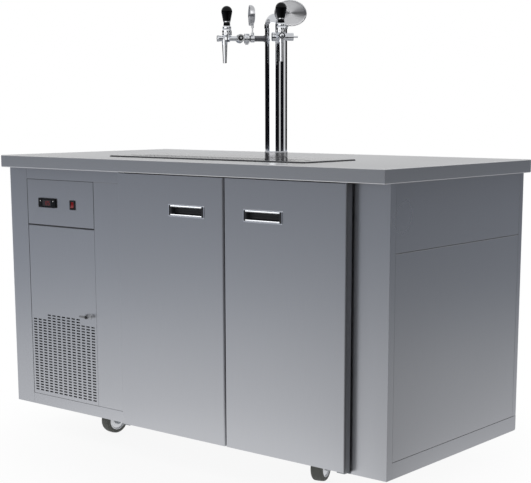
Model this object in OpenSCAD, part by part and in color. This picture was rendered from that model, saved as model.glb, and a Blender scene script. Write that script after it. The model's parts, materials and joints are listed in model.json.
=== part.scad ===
// Refrigerated two-door dispensing counter with a two-tap wine tower.
// Origin: on the floor below the middle of the worktop. +X to the right, -Y to the front, +Z up.

/* [Worktop] */
// Length of the worktop
top_len = 1400; // [1340:10:1700]
// Depth of the worktop
top_depth = 710; // [690:5:800]
// Height of the folded edge
top_edge = 36; // [32:1:45]
// Overhang beyond the cabinet at each end
end_overhang = 3; // [1:1:20]
// Overhang in front of the cabinet
front_overhang = 30; // [28:1:40]
// Overhang behind the cabinet
back_overhang = 34; // [10:1:50]
// Radius of the folded edges
edge_r = 2.5; // [1:0.5:4]
// Width of the flange folded under the edge
return_w = 15; // [10:1:25]

/* [Cabinet] */
// Height of the cabinet body
cabinet_h = 725; // [700:5:780]
// Clear height under the cabinet
floor_gap = 84; // [82:1:95]
// Thickness of the steel sheet
sheet = 1.5; // [1:0.1:2]
// Depth of the front frame
frame_d = 24; // [22:1:30]
// Width of the left post
left_post = 77; // [60:1:100]
// Width of the control and grille bay
bay_w = 292; // [280:1:320]
// Width of the fixed filler panel
filler_w = 128; // [110:1:150]
// Width of the right post
right_post = 107; // [90:1:120]
// Height of the top rail
top_rail = 33.5; // [28:0.5:40]
// Height of the bottom rail
bottom_rail = 33; // [28:0.5:40]
// Height of the control panel
control_h = 137; // [120:1:160]
// Thickness of the inset panels
panel_t = 2; // [1.5:0.1:2.5]
// Gap round a fixed panel
seam = 0.6; // [0.4:0.1:1]
// Thickness of the side walls
side_t = 20; // [15:1:25]
// Height of the base skirt at the sides and back
skirt_h = 42; // [36:1:50]
// Height of the upper side panel
upper_side_h = 167; // [140:1:200]
// Insulation of the cold room
wall_t = 45; // [35:1:50]
// Insulation above and below the cold room
lid_t = 35; // [30:1:45]

/* [Doors] */
// Thickness of a door
door_t = 21.5; // [20:0.5:30]
// Depth of the gasket between door and frame
gasket_t = 5.4; // [4:0.1:8]
// Gap between the two doors
door_seam = 3; // [2:0.5:5]
// Gap between a door and the worktop
door_top_gap = 2.5; // [2.3:0.1:5]
// Height of the door's lower edge above the cabinet's
door_low = 8; // [7:0.5:12]
// Radius of the door's front edges
door_r = 5; // [2:0.5:8]
// Distance of the hinge pin from the door's edge
hinge_in = 10; // [8:0.5:12]
// Radius of the hinge pins
pin_r = 4; // [3:0.5:5]
// Width of a pull
pull_w = 130; // [110:1:150]
// Height of a pull
pull_h = 33; // [28:1:40]
// Distance of a pull from the door's free edge
pull_side = 66; // [50:1:80]
// Distance of a pull's middle below the worktop's surface
pull_drop = 131; // [110:1:180]
// Depth of the cup behind a pull
pull_depth = 15; // [12:0.5:17]
// Width of the post between the door openings
mid_post = 64; // [56:1:80]
// Width of the frame that a gasket lies on
gasket_land = 35; // [30:1:45]
// Height of the frame below the door openings
door_sill = 71; // [60:1:90]

/* [Grille panel] */
// Columns of slots
slot_cols = 13; // [9:1:13]
// Rows of slots
slot_rows = 27; // [10:1:27]
// Length of a slot
slot_w = 14.5; // [10:0.5:16]
// Height of a slot
slot_h = 4; // [3:0.1:5]
// Spacing of the rows
slot_dz = 8.45; // [8:0.05:8.6]
// Height of the lowest row above the cabinet's lower edge
slot_low = 47; // [40:1:60]
// Short rows above the full ones
crest_rows = 2; // [0:1:3]
// Depth of the panel's folded flanges
flange_d = 12; // [8:1:14]
// Height of the lock above the cabinet's lower edge
lock_up = 298; // [290:1:340]
// Distance of the lock from the panel's edge
lock_in = 28; // [24:1:36]

/* [Tower] */
// Distance of the tower to the right of the middle
tower_x = 156.5; // [100:0.5:250]
// Distance of the tower behind the basin
tower_back = 40; // [39:1:60]
// Radius of the column
column_r = 30; // [28:0.5:35]
// Height of the column above the tray
column_h = 346; // [330:1:400]
// Height of the base collar
collar_h = 20; // [12:1:30]
// Height of the tap axis above the tray
tap_up = 319.5; // [300:0.5:325]
// Angle between each tap and the front
tap_angle = 45; // [35:1:60]
// Distance of the lever from the column's axis
lever_x = 133; // [130:1:150]
// Distance of the spout from the column's axis
spout_x = 139; // [136:1:150]
// Length of the spout below the tap's axis
spout_len = 65; // [50:1:80]
// Radius of the lever's ball
ball_r = 7; // [6:0.5:8]
// Height of the lever's ball above the tap's axis
pivot_up = 19; // [18:0.5:21]
// Radius of the grip's round head
grip_r = 14.7; // [12:0.1:16]
// Height of the grip
grip_len = 39; // [34:0.5:45]
// Width of a badge
badge_w = 86; // [70:1:90]
// Height of the left tap's badge
left_badge_h = 54; // [46:1:62]
// Height of the right tap's badge
right_badge_h = 68; // [56:1:70]

/* [Drip tray] */
// Length of the tray
tray_len = 720; // [660:5:760]
// Depth of the tray
tray_d = 225; // [215:5:240]
// Distance of the tray's middle to the right
tray_x = 12; // [-20:1:60]
// Distance of the tray's back edge in front of the middle
tray_back = 15; // [0:1:25]
// Height of the tray above the worktop
tray_rise = 4; // [3:0.5:6]
// Depth of the basin below the worktop's surface
basin_depth = 27; // [20:1:29]
// Depth of the grate from front to back
grate_d = 96; // [90:1:98]
// Thickness of the grate
grate_t = 3; // [2:0.5:3.5]

/* [Castors] */
// Diameter of a wheel
wheel_d = 80; // [70:1:80]
// Width of a wheel
wheel_w = 34; // [26:1:38]
// Height of a castor
castor_h = 105; // [102:1:110]
// Distance of a castor's swivel from the cabinet's end
castor_side = 292; // [180:2:340]
// Distance of a front castor's swivel from the cabinet's front
castor_front = 105; // [95:1:120]
// Distance of a rear castor's swivel from the cabinet's back
castor_rear = 101; // [92:1:120]
// Distance of the axle behind the swivel
trail = 26; // [20:1:30]

/* [Hidden] */
$fn = 48;

// Radial clearance of a pin or shaft in its bore
fit = 0.05;
// Gap between a moving piece and its seat
rest_gap = 0.3;
// Overshoot of a cut past the face it starts from
over = 1;

// Cabinet limits
cab_x = top_len / 2 - end_overhang;
front_y = -top_depth / 2 + front_overhang;
back_y = top_depth / 2 - back_overhang;
cab_bot = floor_gap;
cab_top = cab_bot + cabinet_h;
top_z = cab_top + top_edge;
frame_back = front_y + frame_d;

// Front layout, left to right
bay_x0 = -cab_x + left_post;
bay_x1 = bay_x0 + bay_w;
doors_x0 = bay_x1 + filler_w;
doors_x1 = cab_x - right_post;
door_w = (doors_x1 - doors_x0 - door_seam) / 2;
// Distance that the filler panel reaches behind the left door
filler_tuck = 4;
mid_x = (doors_x0 + doors_x1) / 2;
bay_z0 = cab_bot + bottom_rail;
bay_z1 = cab_top - top_rail;
bay_split = bay_z1 - control_h;
// Band of the frame that the inset panels lie on
land = 8;
// Height of the frame above the door openings
door_head = 44;
open_z0 = cab_bot + door_sill;
open_z1 = cab_top - door_head;

// Floor pan and cold room
beam_h = 10.5;
pan_z = castor_h + beam_h;
room_z0 = pan_z + sheet;
// Distance that the cold room reaches to the left of the doors
room_side = 18;
room_x0 = doors_x0 - room_side;
room_x1 = cab_x - side_t;
room_y1 = back_y - side_t;
right_wall = 60;

// Doors
door_z0 = cab_bot + door_low;
door_z1 = cab_top - door_top_gap;
door_back = front_y - gasket_t - rest_gap;
door_front = door_back - door_t;
hinge_y = (door_back + door_front) / 2;
pull_z = top_z - pull_drop;
// Bezel of a pull: its rim stands proud of the door and its cup fits the recess with a gap
pull_lip = 1.5;
pull_rim = 6;
recess_w = pull_w - 2 * pull_rim;
recess_h = pull_h - 2 * pull_rim + 4;

// Grille panel: its pivot lies just behind its left front edge
pivot_in_x = 3;
pivot_in_y = 3.7;
pivot_r = 1.3;
pivot_gap = 2.1;
grille_x0 = bay_x0 + pivot_gap;
grille_x1 = bay_x1 - seam;
grille_z0 = bay_z0 + 1;
grille_z1 = bay_split - 1.5;
grille_px = grille_x0 + pivot_in_x;
grille_py = front_y + pivot_in_y;
lock_x = grille_x1 - lock_in;
lock_z = cab_bot + lock_up;
lock_r = 6.5;

// Control panel fittings
gauge_w = 76;
gauge_h = 28;
gauge_deep = 55;
gauge_x = bay_x0 + 92.5;
gauge_z = bay_z1 - control_h / 2;
switch_w = 22;
switch_h = 28;
switch_x = bay_x0 + 202;
switch_z = gauge_z - 2;
// The blocks behind the two bezels are smaller than these on each side
bezel_in = 2.5;

// Tower
deck_z = top_z + tray_rise;
tap_z = deck_z + tap_up;
tap_dir = [-90 - tap_angle, -90 + tap_angle];
shank_r = 7.5;
body_r = 8;
nut_r = 13;
bonnet_r = 13;
dome_r = 12.5;
comp_x = 98;
ring_x0 = 59;
nut_x0 = 73;
nut_x1 = 86;
nose_x = lever_x + 26;
// Rest place and lean of each badge, seen along the tap from the user's side
badge_h = [left_badge_h, right_badge_h];
badge_rise = [61, 63];
badge_side = [0, 31.5];
badge_lean = [0, 4];
rod_lean = [0, 38];

// Drip tray: its rim, and the basin under the lift-out grate
tray_y1 = -tray_back;
tray_y0 = tray_y1 - tray_d;
tray_x0 = tray_x - tray_len / 2;
tray_x1 = tray_x + tray_len / 2;
rim_w = 12;
grate_gap = 1;
ledge_w = 5;
basin_x0 = tray_x0 + rim_w;
basin_x1 = tray_x1 - rim_w;
basin_y0 = tray_y0 + rim_w;
basin_y1 = basin_y0 + grate_d + 2 * grate_gap;
basin_gap = 2;
tower_y = basin_y1 + tower_back;
grate_z = top_z + tray_rise - grate_t;
drain_r = 10;
drain_bore = 8;
drain_len = 24;
drain_x = tray_x0 + 48;
drain_y = (basin_y0 + basin_y1) / 2;
// Hole for the beverage lines below the tower
line_hole_r = 22;

// Lowest edge of the upper side panel
upper_side_z = cab_top - upper_side_h;

// Thermostat: its bezel, and the keys in two columns beside the display
key_w = 9;
key_h = 8;
key_t = 3;
key_travel = 0.8;
key_dx = 28;
key_dz = 5.5;
bezel_t = 4;
key_at = [[-key_dx, key_dz], [-key_dx, -key_dz], [key_dx, key_dz], [key_dx, -key_dz]];

// Rocker of the power switch
rock_half = 9.2;
rock_w = 13;
rock_tilt = 10;
rock_py = front_y + 2;

// Tongue of the lock, behind the grille panel's flanges
tongue_y0 = front_y + flange_d + 4;
tongue_y1 = tongue_y0 + 2.5;
tongue_w = 10;
tongue_len = lock_in + seam + 8;

// Taps
shank_x0 = 16;
shank_x1 = 80;
barrel_back = 20;
barrel_front = 18;
pin_shaft_r = 3;
pin_shaft = 11;
bonnet_z0 = 9;
stub_len = 11;
stub_r = 7.5;
pull_max = 25;
push_max = 12;
stem_r = 3;
// Rods of the badges end inside the shell of their badge
rod_x = ring_x0 + 5;
rod_r = 1.8;
rod_end_r = 3.5;
rod_len = [44, 51];
barb_r = 4;
barb_len = 18;
barb_dx = 12;

// Machine bay
cond_side = 20;
cond_front = 14;
cond_d = 55;
cond_h = 300;
cond_x0 = bay_x0 + cond_side;
cond_x1 = bay_x1 - cond_side;
cond_y0 = frame_back + cond_front;
cond_y1 = cond_y0 + cond_d;
cond_z1 = room_z0 + cond_h;
fan_up = 160;
fan_r = 100;
fan_gap = 12;
fan_t = 26;
fan_x = (cond_x0 + cond_x1) / 2;
fan_z = room_z0 + fan_up;
fan_y0 = cond_y1 + fan_gap;
fan_y1 = fan_y0 + fan_t;
shaft_r = 3;
compressor_back = 407;
compressor_r = 78;
compressor_x = (bay_x0 + bay_x1) / 2 + 4;
compressor_y = cond_y0 + compressor_back;

// Evaporator on the cold room's left wall
evap_x0 = room_x0 + wall_t;
evap_t = 62;
evap_w = 300;
evap_h = 300;
evap_drop = 57;
evap_y0 = (frame_back + room_y1 - wall_t - evap_w) / 2;
evap_z0 = cab_top - lid_t - evap_drop - evap_h;
evap_fan_y = evap_y0 + evap_w / 2;
evap_fan_z = evap_z0 + evap_h / 2;
evap_fan_r = 66;
evap_fan_t = 20;
evap_shaft = 14;
evap_hub_in = 28;
evap_hub_x = evap_x0 + evap_hub_in;

// Castors: front left, front right, rear left, rear right
castor_x = cab_x - castor_side;
castor_y0 = front_y + castor_front;
castor_y1 = back_y - castor_rear;
castor_at = [[-castor_x, castor_y0], [castor_x, castor_y0], [-castor_x, castor_y1], [castor_x, castor_y1]];
castor_turn = [-5, 17, 8, -10];
axle_r = 4;
wheel_r = wheel_d / 2;
king_r = 5;
king_gap = 4;
plate_half = 38;
plate_t = 3;
bolt_at = 31;
leg_t = 3;
leg_gap = 1;

// Steel finishes
steel = [0.62, 0.63, 0.66];
dark = [0.13, 0.13, 0.14];
chrome = [0.8, 0.81, 0.83];

// A box given by its low and high corners
module box(a, b) {
    translate(a) cube(b - a);
}

// A rectangle with its four corners rounded by circles
module round_rect(w, h, r) {
    square([w - 2 * r, h], center = true);
    square([w, h - 2 * r], center = true);
    for (sx = [-1, 1], sy = [-1, 1]) translate([sx * (w / 2 - r), sy * (h / 2 - r)]) circle(r);
}

// A round bar along Y, from y0 to y1
module bar_y(r, y0, y1) {
    translate([0, y0, 0]) rotate([-90, 0, 0]) cylinder(r = r, h = y1 - y0);
}

// A round bar along X, from x0 to x1
module bar_x(r, x0, x1) {
    translate([x0, 0, 0]) rotate([0, 90, 0]) cylinder(r = r, h = x1 - x0);
}

// Worktop

// Solid of the folded worktop, with its edges rounded
module top_block() {
    intersection() {
        translate([-top_len / 2, 0, 0]) rotate([90, 0, 90]) linear_extrude(top_len) edge_profile(top_depth);
        translate([0, top_depth / 2, 0]) rotate([90, 0, 0]) linear_extrude(top_depth) edge_profile(top_len);
    }
}

module edge_profile(w) {
    translate([0, (cab_top + top_z) / 2]) round_rect(w, top_edge, edge_r);
}

module basin_cut(z0, z1) {
    box([basin_x0 - basin_gap, basin_y0 - basin_gap, z0], [basin_x1 + basin_gap, basin_y1 + basin_gap, z1]);
}

module line_hole(z0, z1) {
    translate([tower_x, tower_y, z0]) cylinder(r = line_hole_r, h = z1 - z0);
}

module worktop() {
    inner_x = top_len / 2 - sheet;
    inner_y = top_depth / 2 - sheet;
    lip_x = top_len / 2 - return_w;
    lip_y = top_depth / 2 - return_w;
    color(steel) difference() {
        top_block();
        box([-inner_x, -inner_y, cab_top + sheet], [inner_x, inner_y, top_z - sheet]);
        box([-lip_x, -lip_y, cab_top - over], [lip_x, lip_y, cab_top + sheet + over]);
        basin_cut(top_z - sheet - over, top_z + over);
        line_hole(top_z - sheet - over, top_z + over);
    }
}

module worktop_core() {
    core_x = top_len / 2 - return_w;
    core_y = top_depth / 2 - return_w;
    color([0.72, 0.58, 0.4]) difference() {
        box([-core_x, -core_y, cab_top], [core_x, core_y, top_z - sheet]);
        basin_cut(cab_top - over, top_z);
        line_hole(cab_top - over, top_z);
    }
}

// Drip tray

module drip_tray() {
    floor_z = top_z - basin_depth;
    rim_r = 8;
    color(steel) difference() {
        union() {
            translate([tray_x, (tray_y0 + tray_y1) / 2, top_z]) linear_extrude(tray_rise)
                round_rect(tray_len, tray_d, rim_r);
            box([basin_x0, basin_y0, floor_z], [basin_x1, basin_y1, top_z]);
            translate([drain_x, drain_y, floor_z - drain_len]) cylinder(r = drain_r, h = drain_len);
        }
        box([basin_x0, basin_y0, grate_z], [basin_x1, basin_y1, deck_z + over]);
        box([basin_x0 + ledge_w, basin_y0 + ledge_w, floor_z + sheet],
            [basin_x1 - ledge_w, basin_y1 - ledge_w, grate_z + over]);
        translate([drain_x, drain_y, floor_z - drain_len - over])
            cylinder(r = drain_bore, h = drain_len + sheet + 2 * over);
        line_hole(top_z - over, deck_z + over);
    }
}

module drip_grate() {
    finger_r = 9;
    gx0 = basin_x0 + grate_gap;
    gx1 = basin_x1 - grate_gap;
    gy0 = basin_y0 + grate_gap;
    gy1 = basin_y1 - grate_gap;
    slot_pitch = 14;
    slot_wide = 6;
    slot_field = gx1 - gx0 - 100;
    slot_n = floor(slot_field / slot_pitch);
    slot_long = (grate_d - 30) / 2;
    color(steel) difference() {
        box([gx0, gy0, grate_z], [gx1, gy1, deck_z]);
        for (i = [0:slot_n - 1], s = [-1, 1])
            translate([(gx0 + gx1) / 2 + (i - (slot_n - 1) / 2) * slot_pitch,
                (gy0 + gy1) / 2 + s * (slot_long / 2 + 5), grate_z + grate_t / 2])
                cube([slot_wide, slot_long, grate_t + 2 * over], center = true);
        for (x = [gx0 + 24, gx1 - 24]) translate([x, (gy0 + gy1) / 2, grate_z - over])
            cylinder(r = finger_r, h = grate_t + 2 * over);
    }
}

// Cabinet

module base_frame() {
    inner = cab_x - side_t;
    beam_w = 84;
    corner_chamfer = 3;
    color(steel) difference() {
        union() {
            for (s = [-1, 1]) box([s > 0 ? inner : -cab_x, frame_back, cab_bot],
                [s > 0 ? cab_x : -inner, back_y, cab_bot + skirt_h]);
            box([-inner, back_y - side_t, cab_bot], [inner, back_y, cab_bot + skirt_h]);
            box([-inner, frame_back, pan_z], [inner, back_y - side_t, room_z0]);
            for (y = [castor_y0, castor_y1])
                box([-inner, y - beam_w / 2, castor_h], [inner, y + beam_w / 2, pan_z]);
        }
        for (p = castor_at) translate([p[0], p[1], castor_h - over])
            cylinder(r = king_r + king_gap, h = beam_h + over);
        translate([0, back_y, cab_bot]) rotate([45, 0, 0])
            cube([2 * cab_x + 2 * over, 2 * corner_chamfer, 2 * corner_chamfer], center = true);
    }
}

// Opening of one door: side -1 is the left one
function open_x0(s) = s < 0 ? doors_x0 + gasket_land : mid_x + mid_post / 2;
function open_x1(s) = s < 0 ? mid_x - mid_post / 2 : doors_x1 - gasket_land;

module front_frame() {
    groove = 0.6;
    keeper_d = 12;
    keeper_gap = 2;
    color(steel) difference() {
        box([-cab_x, front_y, cab_bot], [cab_x, frame_back, cab_top]);
        // Recess in which the inset panels lie flush
        box([bay_x0, front_y - over, bay_z0], [doors_x0 + filler_tuck, front_y + panel_t, bay_z1]);
        // Openings behind the control panel and the grille panel
        box([bay_x0 + land, front_y, bay_split + 2 * land],
            [bay_x1 - land, frame_back + over, bay_z1 - land]);
        box([bay_x0, front_y, bay_z0], [bay_x1, frame_back + over, bay_split]);
        for (s = [-1, 1])
            box([open_x0(s), front_y - over, open_z0], [open_x1(s), frame_back + over, open_z1]);
        // Notch in the back of the post, into which the lock's tongue turns
        box([bay_x1 - over, tongue_y0 - keeper_gap, lock_z - tongue_len],
            [bay_x1 + keeper_d, frame_back + over, lock_z + tongue_w]);
        // Joint lines between posts and rails
        for (x = [bay_x0, doors_x1]) translate([x - groove / 2, front_y - over, cab_bot - over])
            cube([groove, over + groove, bottom_rail + over]);
        for (x = [bay_x0, doors_x1]) translate([x - groove / 2, front_y - over, bay_z1])
            cube([groove, over + groove, top_rail + over]);
    }
}

module filler_panel() {
    color(steel) box([bay_x1, front_y, bay_z0 + 1],
        [doors_x0 + filler_tuck - seam, front_y + panel_t, bay_z1 - seam]);
}

module left_side_panel() {
    color(steel) box([-cab_x, frame_back, cab_bot + skirt_h + seam],
        [-cab_x + side_t, back_y - side_t, cab_top]);
}

module right_side_panel() {
    color(steel) side_skin(cab_bot + skirt_h + seam, upper_side_z - 1);
}

module right_upper_panel() {
    color(steel) side_skin(upper_side_z, cab_top);
}

// One right-hand side panel, with its outer horizontal edges folded back
module side_skin(z0, z1) {
    fold = 1;
    translate([0, back_y - side_t, 0]) rotate([90, 0, 0]) linear_extrude(back_y - side_t - frame_back)
        polygon([[cab_x - side_t, z0], [cab_x - fold, z0], [cab_x, z0 + fold], [cab_x, z1 - fold],
            [cab_x - fold, z1], [cab_x - side_t, z1]]);
}

module back_panel() {
    vent_n = 8;
    vent_w = 180;
    vent_h = 8;
    vent_x = (-cab_x + room_x0) / 2;
    y0 = back_y - side_t;
    z0 = cab_bot + skirt_h + seam;
    color(steel) difference() {
        box([-cab_x, y0, z0], [cab_x, back_y, cab_top]);
        box([-cab_x + sheet, y0 - over, z0 + sheet], [cab_x - sheet, back_y - sheet, cab_top - sheet]);
        for (i = [0:vent_n - 1]) translate([vent_x, back_y, bay_z0 + 90 + i * 3 * vent_h])
            cube([vent_w, 4 * sheet, vent_h], center = true);
    }
}

module cold_room_shell() {
    color([0.9, 0.9, 0.88]) difference() {
        box([room_x0, frame_back, room_z0], [room_x1, room_y1, cab_top]);
        box([room_x0 + wall_t, frame_back - over, room_z0 + lid_t],
            [room_x1 - right_wall, room_y1 - wall_t, cab_top - lid_t]);
        line_hole(cab_top - lid_t - over, cab_top + over);
    }
}

// Doors

// Side -1 is the left door, hinged at its left edge
function door_x0(s) = s < 0 ? doors_x0 : mid_x + door_seam / 2;
function hinge_x(s) = s < 0 ? doors_x0 + hinge_in : doors_x1 - hinge_in;
function pull_x(s) = mid_x + s * (door_seam / 2 + pull_side + pull_w / 2);

module door(s) {
    pin_depth = 14;
    x0 = door_x0(s);
    color(steel) difference() {
        translate([x0, door_front, door_z0]) linear_extrude(door_z1 - door_z0) door_plan();
        for (z = [door_z0 - over, door_z1 - pin_depth]) translate([hinge_x(s), hinge_y, z])
            cylinder(r = pin_r + fit, h = pin_depth + over);
        translate([pull_x(s), door_front + pull_depth / 2, pull_z])
            cube([recess_w, pull_depth + 2 * over, recess_h], center = true);
    }
}

// Plan of a door: both front edges are folded round
module door_plan() {
    translate([0, door_r]) square([door_w, door_t - door_r]);
    translate([door_r, 0]) square([door_w - 2 * door_r, door_t]);
    for (x = [door_r, door_w - door_r]) translate([x, door_r]) circle(door_r);
}

module gasket(s) {
    inset = 13;
    band = 14;
    x0 = door_x0(s) + inset;
    x1 = door_x0(s) + door_w - inset;
    z0 = door_z0 + inset;
    z1 = door_z1 - inset;
    color(dark) difference() {
        box([x0, door_back, z0], [x1, front_y - rest_gap, z1]);
        box([x0 + band, door_back - over, z0 + band], [x1 - band, front_y + over, z1 - band]);
    }
}

// Recessed pull: a flat rim, a rounded lip above and below, and a cup behind them
module pull(s) {
    wall = 1.2;
    bead_r = 1.2;
    bead_in = 3;
    corner_r = 3;
    cup_d = pull_depth - 1;
    cup_w = recess_w - 2 * rest_gap;
    cup_h = recess_h - 2 * rest_gap;
    color(chrome) translate([pull_x(s), door_front, pull_z]) difference() {
        union() {
            rotate([90, 0, 0]) linear_extrude(pull_lip) round_rect(pull_w, pull_h, corner_r);
            translate([0, cup_d / 2, 0]) cube([cup_w, cup_d, cup_h], center = true);
            for (z = [-1, 1]) translate([0, -pull_lip, z * (pull_h / 2 - bead_in)])
                bar_x(bead_r, -pull_w / 2 + bead_in, pull_w / 2 - bead_in);
        }
        box([-cup_w / 2 + wall, -pull_lip - 2 * bead_r, -cup_h / 2 + wall],
            [cup_w / 2 - wall, cup_d - wall, cup_h / 2 - wall]);
    }
}

module hinge_brackets() {
    outer = 8;
    inner = 16;
    front = 8;
    leaf_b = 3;
    leaf_t = 2;
    pin_len = 12;
    color(steel) for (s = [-1, 1]) translate([hinge_x(s), 0, 0]) mirror([s > 0 ? 1 : 0, 0, 0]) {
        // Lower bracket: a foot on the frame, a leaf under the door and its pin
        leaf_z = door_z0 - rest_gap;
        box([-outer, front_y - leaf_b, cab_bot + 1], [inner, front_y, leaf_z]);
        box([-outer, hinge_y - front, leaf_z - leaf_b], [inner, front_y, leaf_z]);
        translate([0, hinge_y, leaf_z]) cylinder(r = pin_r, h = pin_len);
        // Upper bracket: a leaf under the worktop and its pin
        box([-outer, hinge_y - front, cab_top - leaf_t], [inner, front_y, cab_top]);
        translate([0, hinge_y, cab_top - leaf_t - pin_len]) cylinder(r = pin_r, h = pin_len);
    }
    // Pins of the grille panel
    pivot_len = 7.5;
    color(steel) for (z = [bay_z0, bay_split - pivot_len]) translate([grille_px, grille_py, z])
        cylinder(r = pivot_r, h = pivot_len);
}

// Service bay panels

module control_panel() {
    fold = 10;
    cut_gap = 0.5;
    color(steel) difference() {
        union() {
            box([bay_x0 + seam, front_y, bay_split + seam],
                [bay_x1 - seam, front_y + panel_t, bay_z1 - seam]);
            for (z = [bay_split + 2 * land + seam, bay_z1 - land - seam - sheet])
                box([bay_x0 + land + seam, front_y + panel_t, z],
                    [bay_x1 - land - seam, front_y + panel_t + fold, z + sheet]);
        }
        translate([gauge_x, front_y, gauge_z]) bezel_block(gauge_w, gauge_h, gauge_deep, cut_gap);
        translate([switch_x, front_y, switch_z]) bezel_block(switch_w, switch_h, 4 * panel_t, cut_gap);
    }
}

// Block that passes through the panel behind a bezel, or its hole there
module bezel_block(w, h, deep, gap) {
    translate([0, deep / 2, 0])
        cube([w - 2 * (bezel_in - gap), deep + 2 * gap, h - 2 * (bezel_in - gap)], center = true);
}

module thermostat() {
    window_w = 38;
    window_h = 17;
    corner_r = 2.5;
    color(dark) translate([gauge_x, front_y, gauge_z]) difference() {
        union() {
            rotate([90, 0, 0]) linear_extrude(bezel_t) round_rect(gauge_w, gauge_h, corner_r);
            bezel_block(gauge_w, gauge_h, gauge_deep, 0);
        }
        translate([0, -bezel_t, 0]) cube([window_w, 2, window_h], center = true);
        for (k = key_at) translate([k[0], -bezel_t, k[1]])
            cube([key_w + 2 * rest_gap, 2 * (key_t + key_travel), key_h + 2 * rest_gap], center = true);
    }
}

// One key, standing 0.5 mm proud of the bezel
module gauge_key(i) {
    proud = 0.5;
    k = key_at[i];
    color([0.2, 0.2, 0.21]) translate([gauge_x + k[0], front_y - bezel_t - proud + key_t / 2, gauge_z + k[1]])
        cube([key_w, key_t, key_h], center = true);
}

module switch_bezel() {
    lip = 2.5;
    deep = 20;
    corner_r = 2;
    well_y = 10;
    well_x = rock_w / 2 + 0.4;
    well_z = rock_half + 1.2;
    color(dark) translate([switch_x, front_y, switch_z]) difference() {
        union() {
            rotate([90, 0, 0]) linear_extrude(lip) round_rect(switch_w, switch_h, corner_r);
            bezel_block(switch_w, switch_h, deep, 0);
        }
        box([-well_x, -lip - over, -well_z], [well_x, well_y, well_z]);
    }
}

// Rocker: two faces that meet in a shallow V, on a pivot behind the middle
module power_rocker() {
    rise = rock_half * tan(rock_tilt);
    crest = 3.2;
    skirt = 2;
    keel = 4;
    slope = 0.8;
    color([0.35, 0.03, 0.03]) translate([switch_x, rock_py, switch_z]) rotate([-rock_tilt, 0, 0])
        translate([-rock_w / 2, 0, 0]) rotate([90, 0, 90]) linear_extrude(rock_w)
            polygon([[-crest, 0], [-crest - rise, -rock_half], [skirt, -rock_half + slope], [keel, 0],
                [skirt, rock_half - slope], [-crest - rise, rock_half]]);
}

module grille_panel() {
    bore_len = 9;
    color(steel) difference() {
        box([grille_x0, front_y, grille_z0], [grille_x1, front_y + flange_d, grille_z1]);
        box([grille_x0 + 2 * pivot_in_x, front_y + sheet, grille_z0 + sheet],
            [grille_x1 - sheet, front_y + flange_d + over, grille_z1 - sheet]);
        slots();
        for (z = [grille_z0 - over, grille_z1 - bore_len + over]) translate([grille_px, grille_py, z])
            cylinder(r = pivot_r + fit, h = bore_len);
        translate([lock_x, 0, lock_z]) bar_y(lock_r + fit, front_y - over, front_y + 4 * sheet);
    }
}

// Slots in even columns across the panel, with a short crest of rows above
module slots() {
    margin = 17;
    mid = (grille_x0 + grille_x1) / 2;
    slot_dx = (bay_w - 2 * margin) / (slot_cols - 1);
    crest = floor(slot_cols / 2) + 1;
    for (r = [0:slot_rows + crest_rows - 1]) {
        n = r < slot_rows ? slot_cols : crest;
        for (c = [0:n - 1])
            translate([mid + (c - (n - 1) / 2) * slot_dx, front_y, cab_bot + slot_low + r * slot_dz])
                cube([slot_w, 4 * sheet, slot_h], center = true);
    }
}

// Quarter-turn lock: flange, neck and lever in front of the panel, barrel and tongue behind it.
// Unlocked, as here, the lever lies across and the tongue hangs down.
module panel_lock() {
    flange_r = 8;
    flange_h = 2.5;
    neck_r = 4;
    neck_h = 10;
    arm_h = 7;
    arm_t = 5;
    arm_len = 28;
    y0 = front_y - rest_gap;
    color(chrome) translate([lock_x, 0, lock_z]) {
        bar_y(flange_r, y0 - flange_h, y0);
        bar_y(neck_r, y0 - neck_h - arm_t / 2, y0);
        bar_y(lock_r, y0 - over, tongue_y1);
        translate([0, y0 - neck_h, 0]) rotate([90, 0, 0]) linear_extrude(arm_t) lever_plan(arm_len, arm_h);
        box([-tongue_w / 2, tongue_y0, -tongue_len], [tongue_w / 2, tongue_y1, 0]);
    }
}

// Flat lever that points to -X, round at both ends and narrower at its tip
module lever_plan(len, wide) {
    tip = wide / 2 - 1;
    circle(wide / 2 + 1.5);
    translate([-len, 0]) circle(tip);
    polygon([[0, -wide / 2], [0, wide / 2], [-len, tip], [-len, -tip]]);
}

// Tower

module tower_base() {
    wide = column_r + 1.5;
    color(chrome) translate([tower_x, tower_y, deck_z]) difference() {
        rotate_extrude()
            polygon([[0, 0], [wide, 0], [wide, collar_h - 4], [wide - 2, collar_h], [0, collar_h]]);
        translate([0, 0, -over]) cylinder(r = column_r + fit, h = collar_h + 2 * over);
    }
}

// Places children in the frame of one tap: +X outwards along the tap
module at_tap(i) {
    translate([tower_x, tower_y, tap_z]) rotate([0, 0, tap_dir[i]]) children();
}

module tower_column() {
    color(chrome) difference() {
        translate([tower_x, tower_y, deck_z]) cylinder(r = column_r, h = column_h);
        translate([tower_x, tower_y, deck_z - over]) cylinder(r = column_r - sheet, h = column_h + 2 * over);
        for (i = [0, 1]) at_tap(i) bar_x(shank_r + fit, column_r / 2, column_r + 10);
    }
}

module tower_cap() {
    ledge_h = 11;
    ledge_r = column_r + 1.5;
    color([0.75, 0.75, 0.76]) translate([tower_x, tower_y, deck_z + column_h]) {
        cylinder(r = ledge_r, h = ledge_h);
        translate([0, 0, -12]) cylinder(r = column_r - sheet - fit, h = 12);
        translate([0, 0, ledge_h]) rotate_extrude() intersection() {
            circle(column_r - 0.5);
            square(column_r);
        }
    }
}

module tap_shanks() {
    escutcheon_x = column_r + 0.5;
    color([0.35, 0.35, 0.36]) for (i = [0, 1]) at_tap(i) {
        bar_x(shank_r, shank_x0, shank_x1);
        bar_x(shank_r + 1.5, escutcheon_x, escutcheon_x + 2.5);
    }
}

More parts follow.
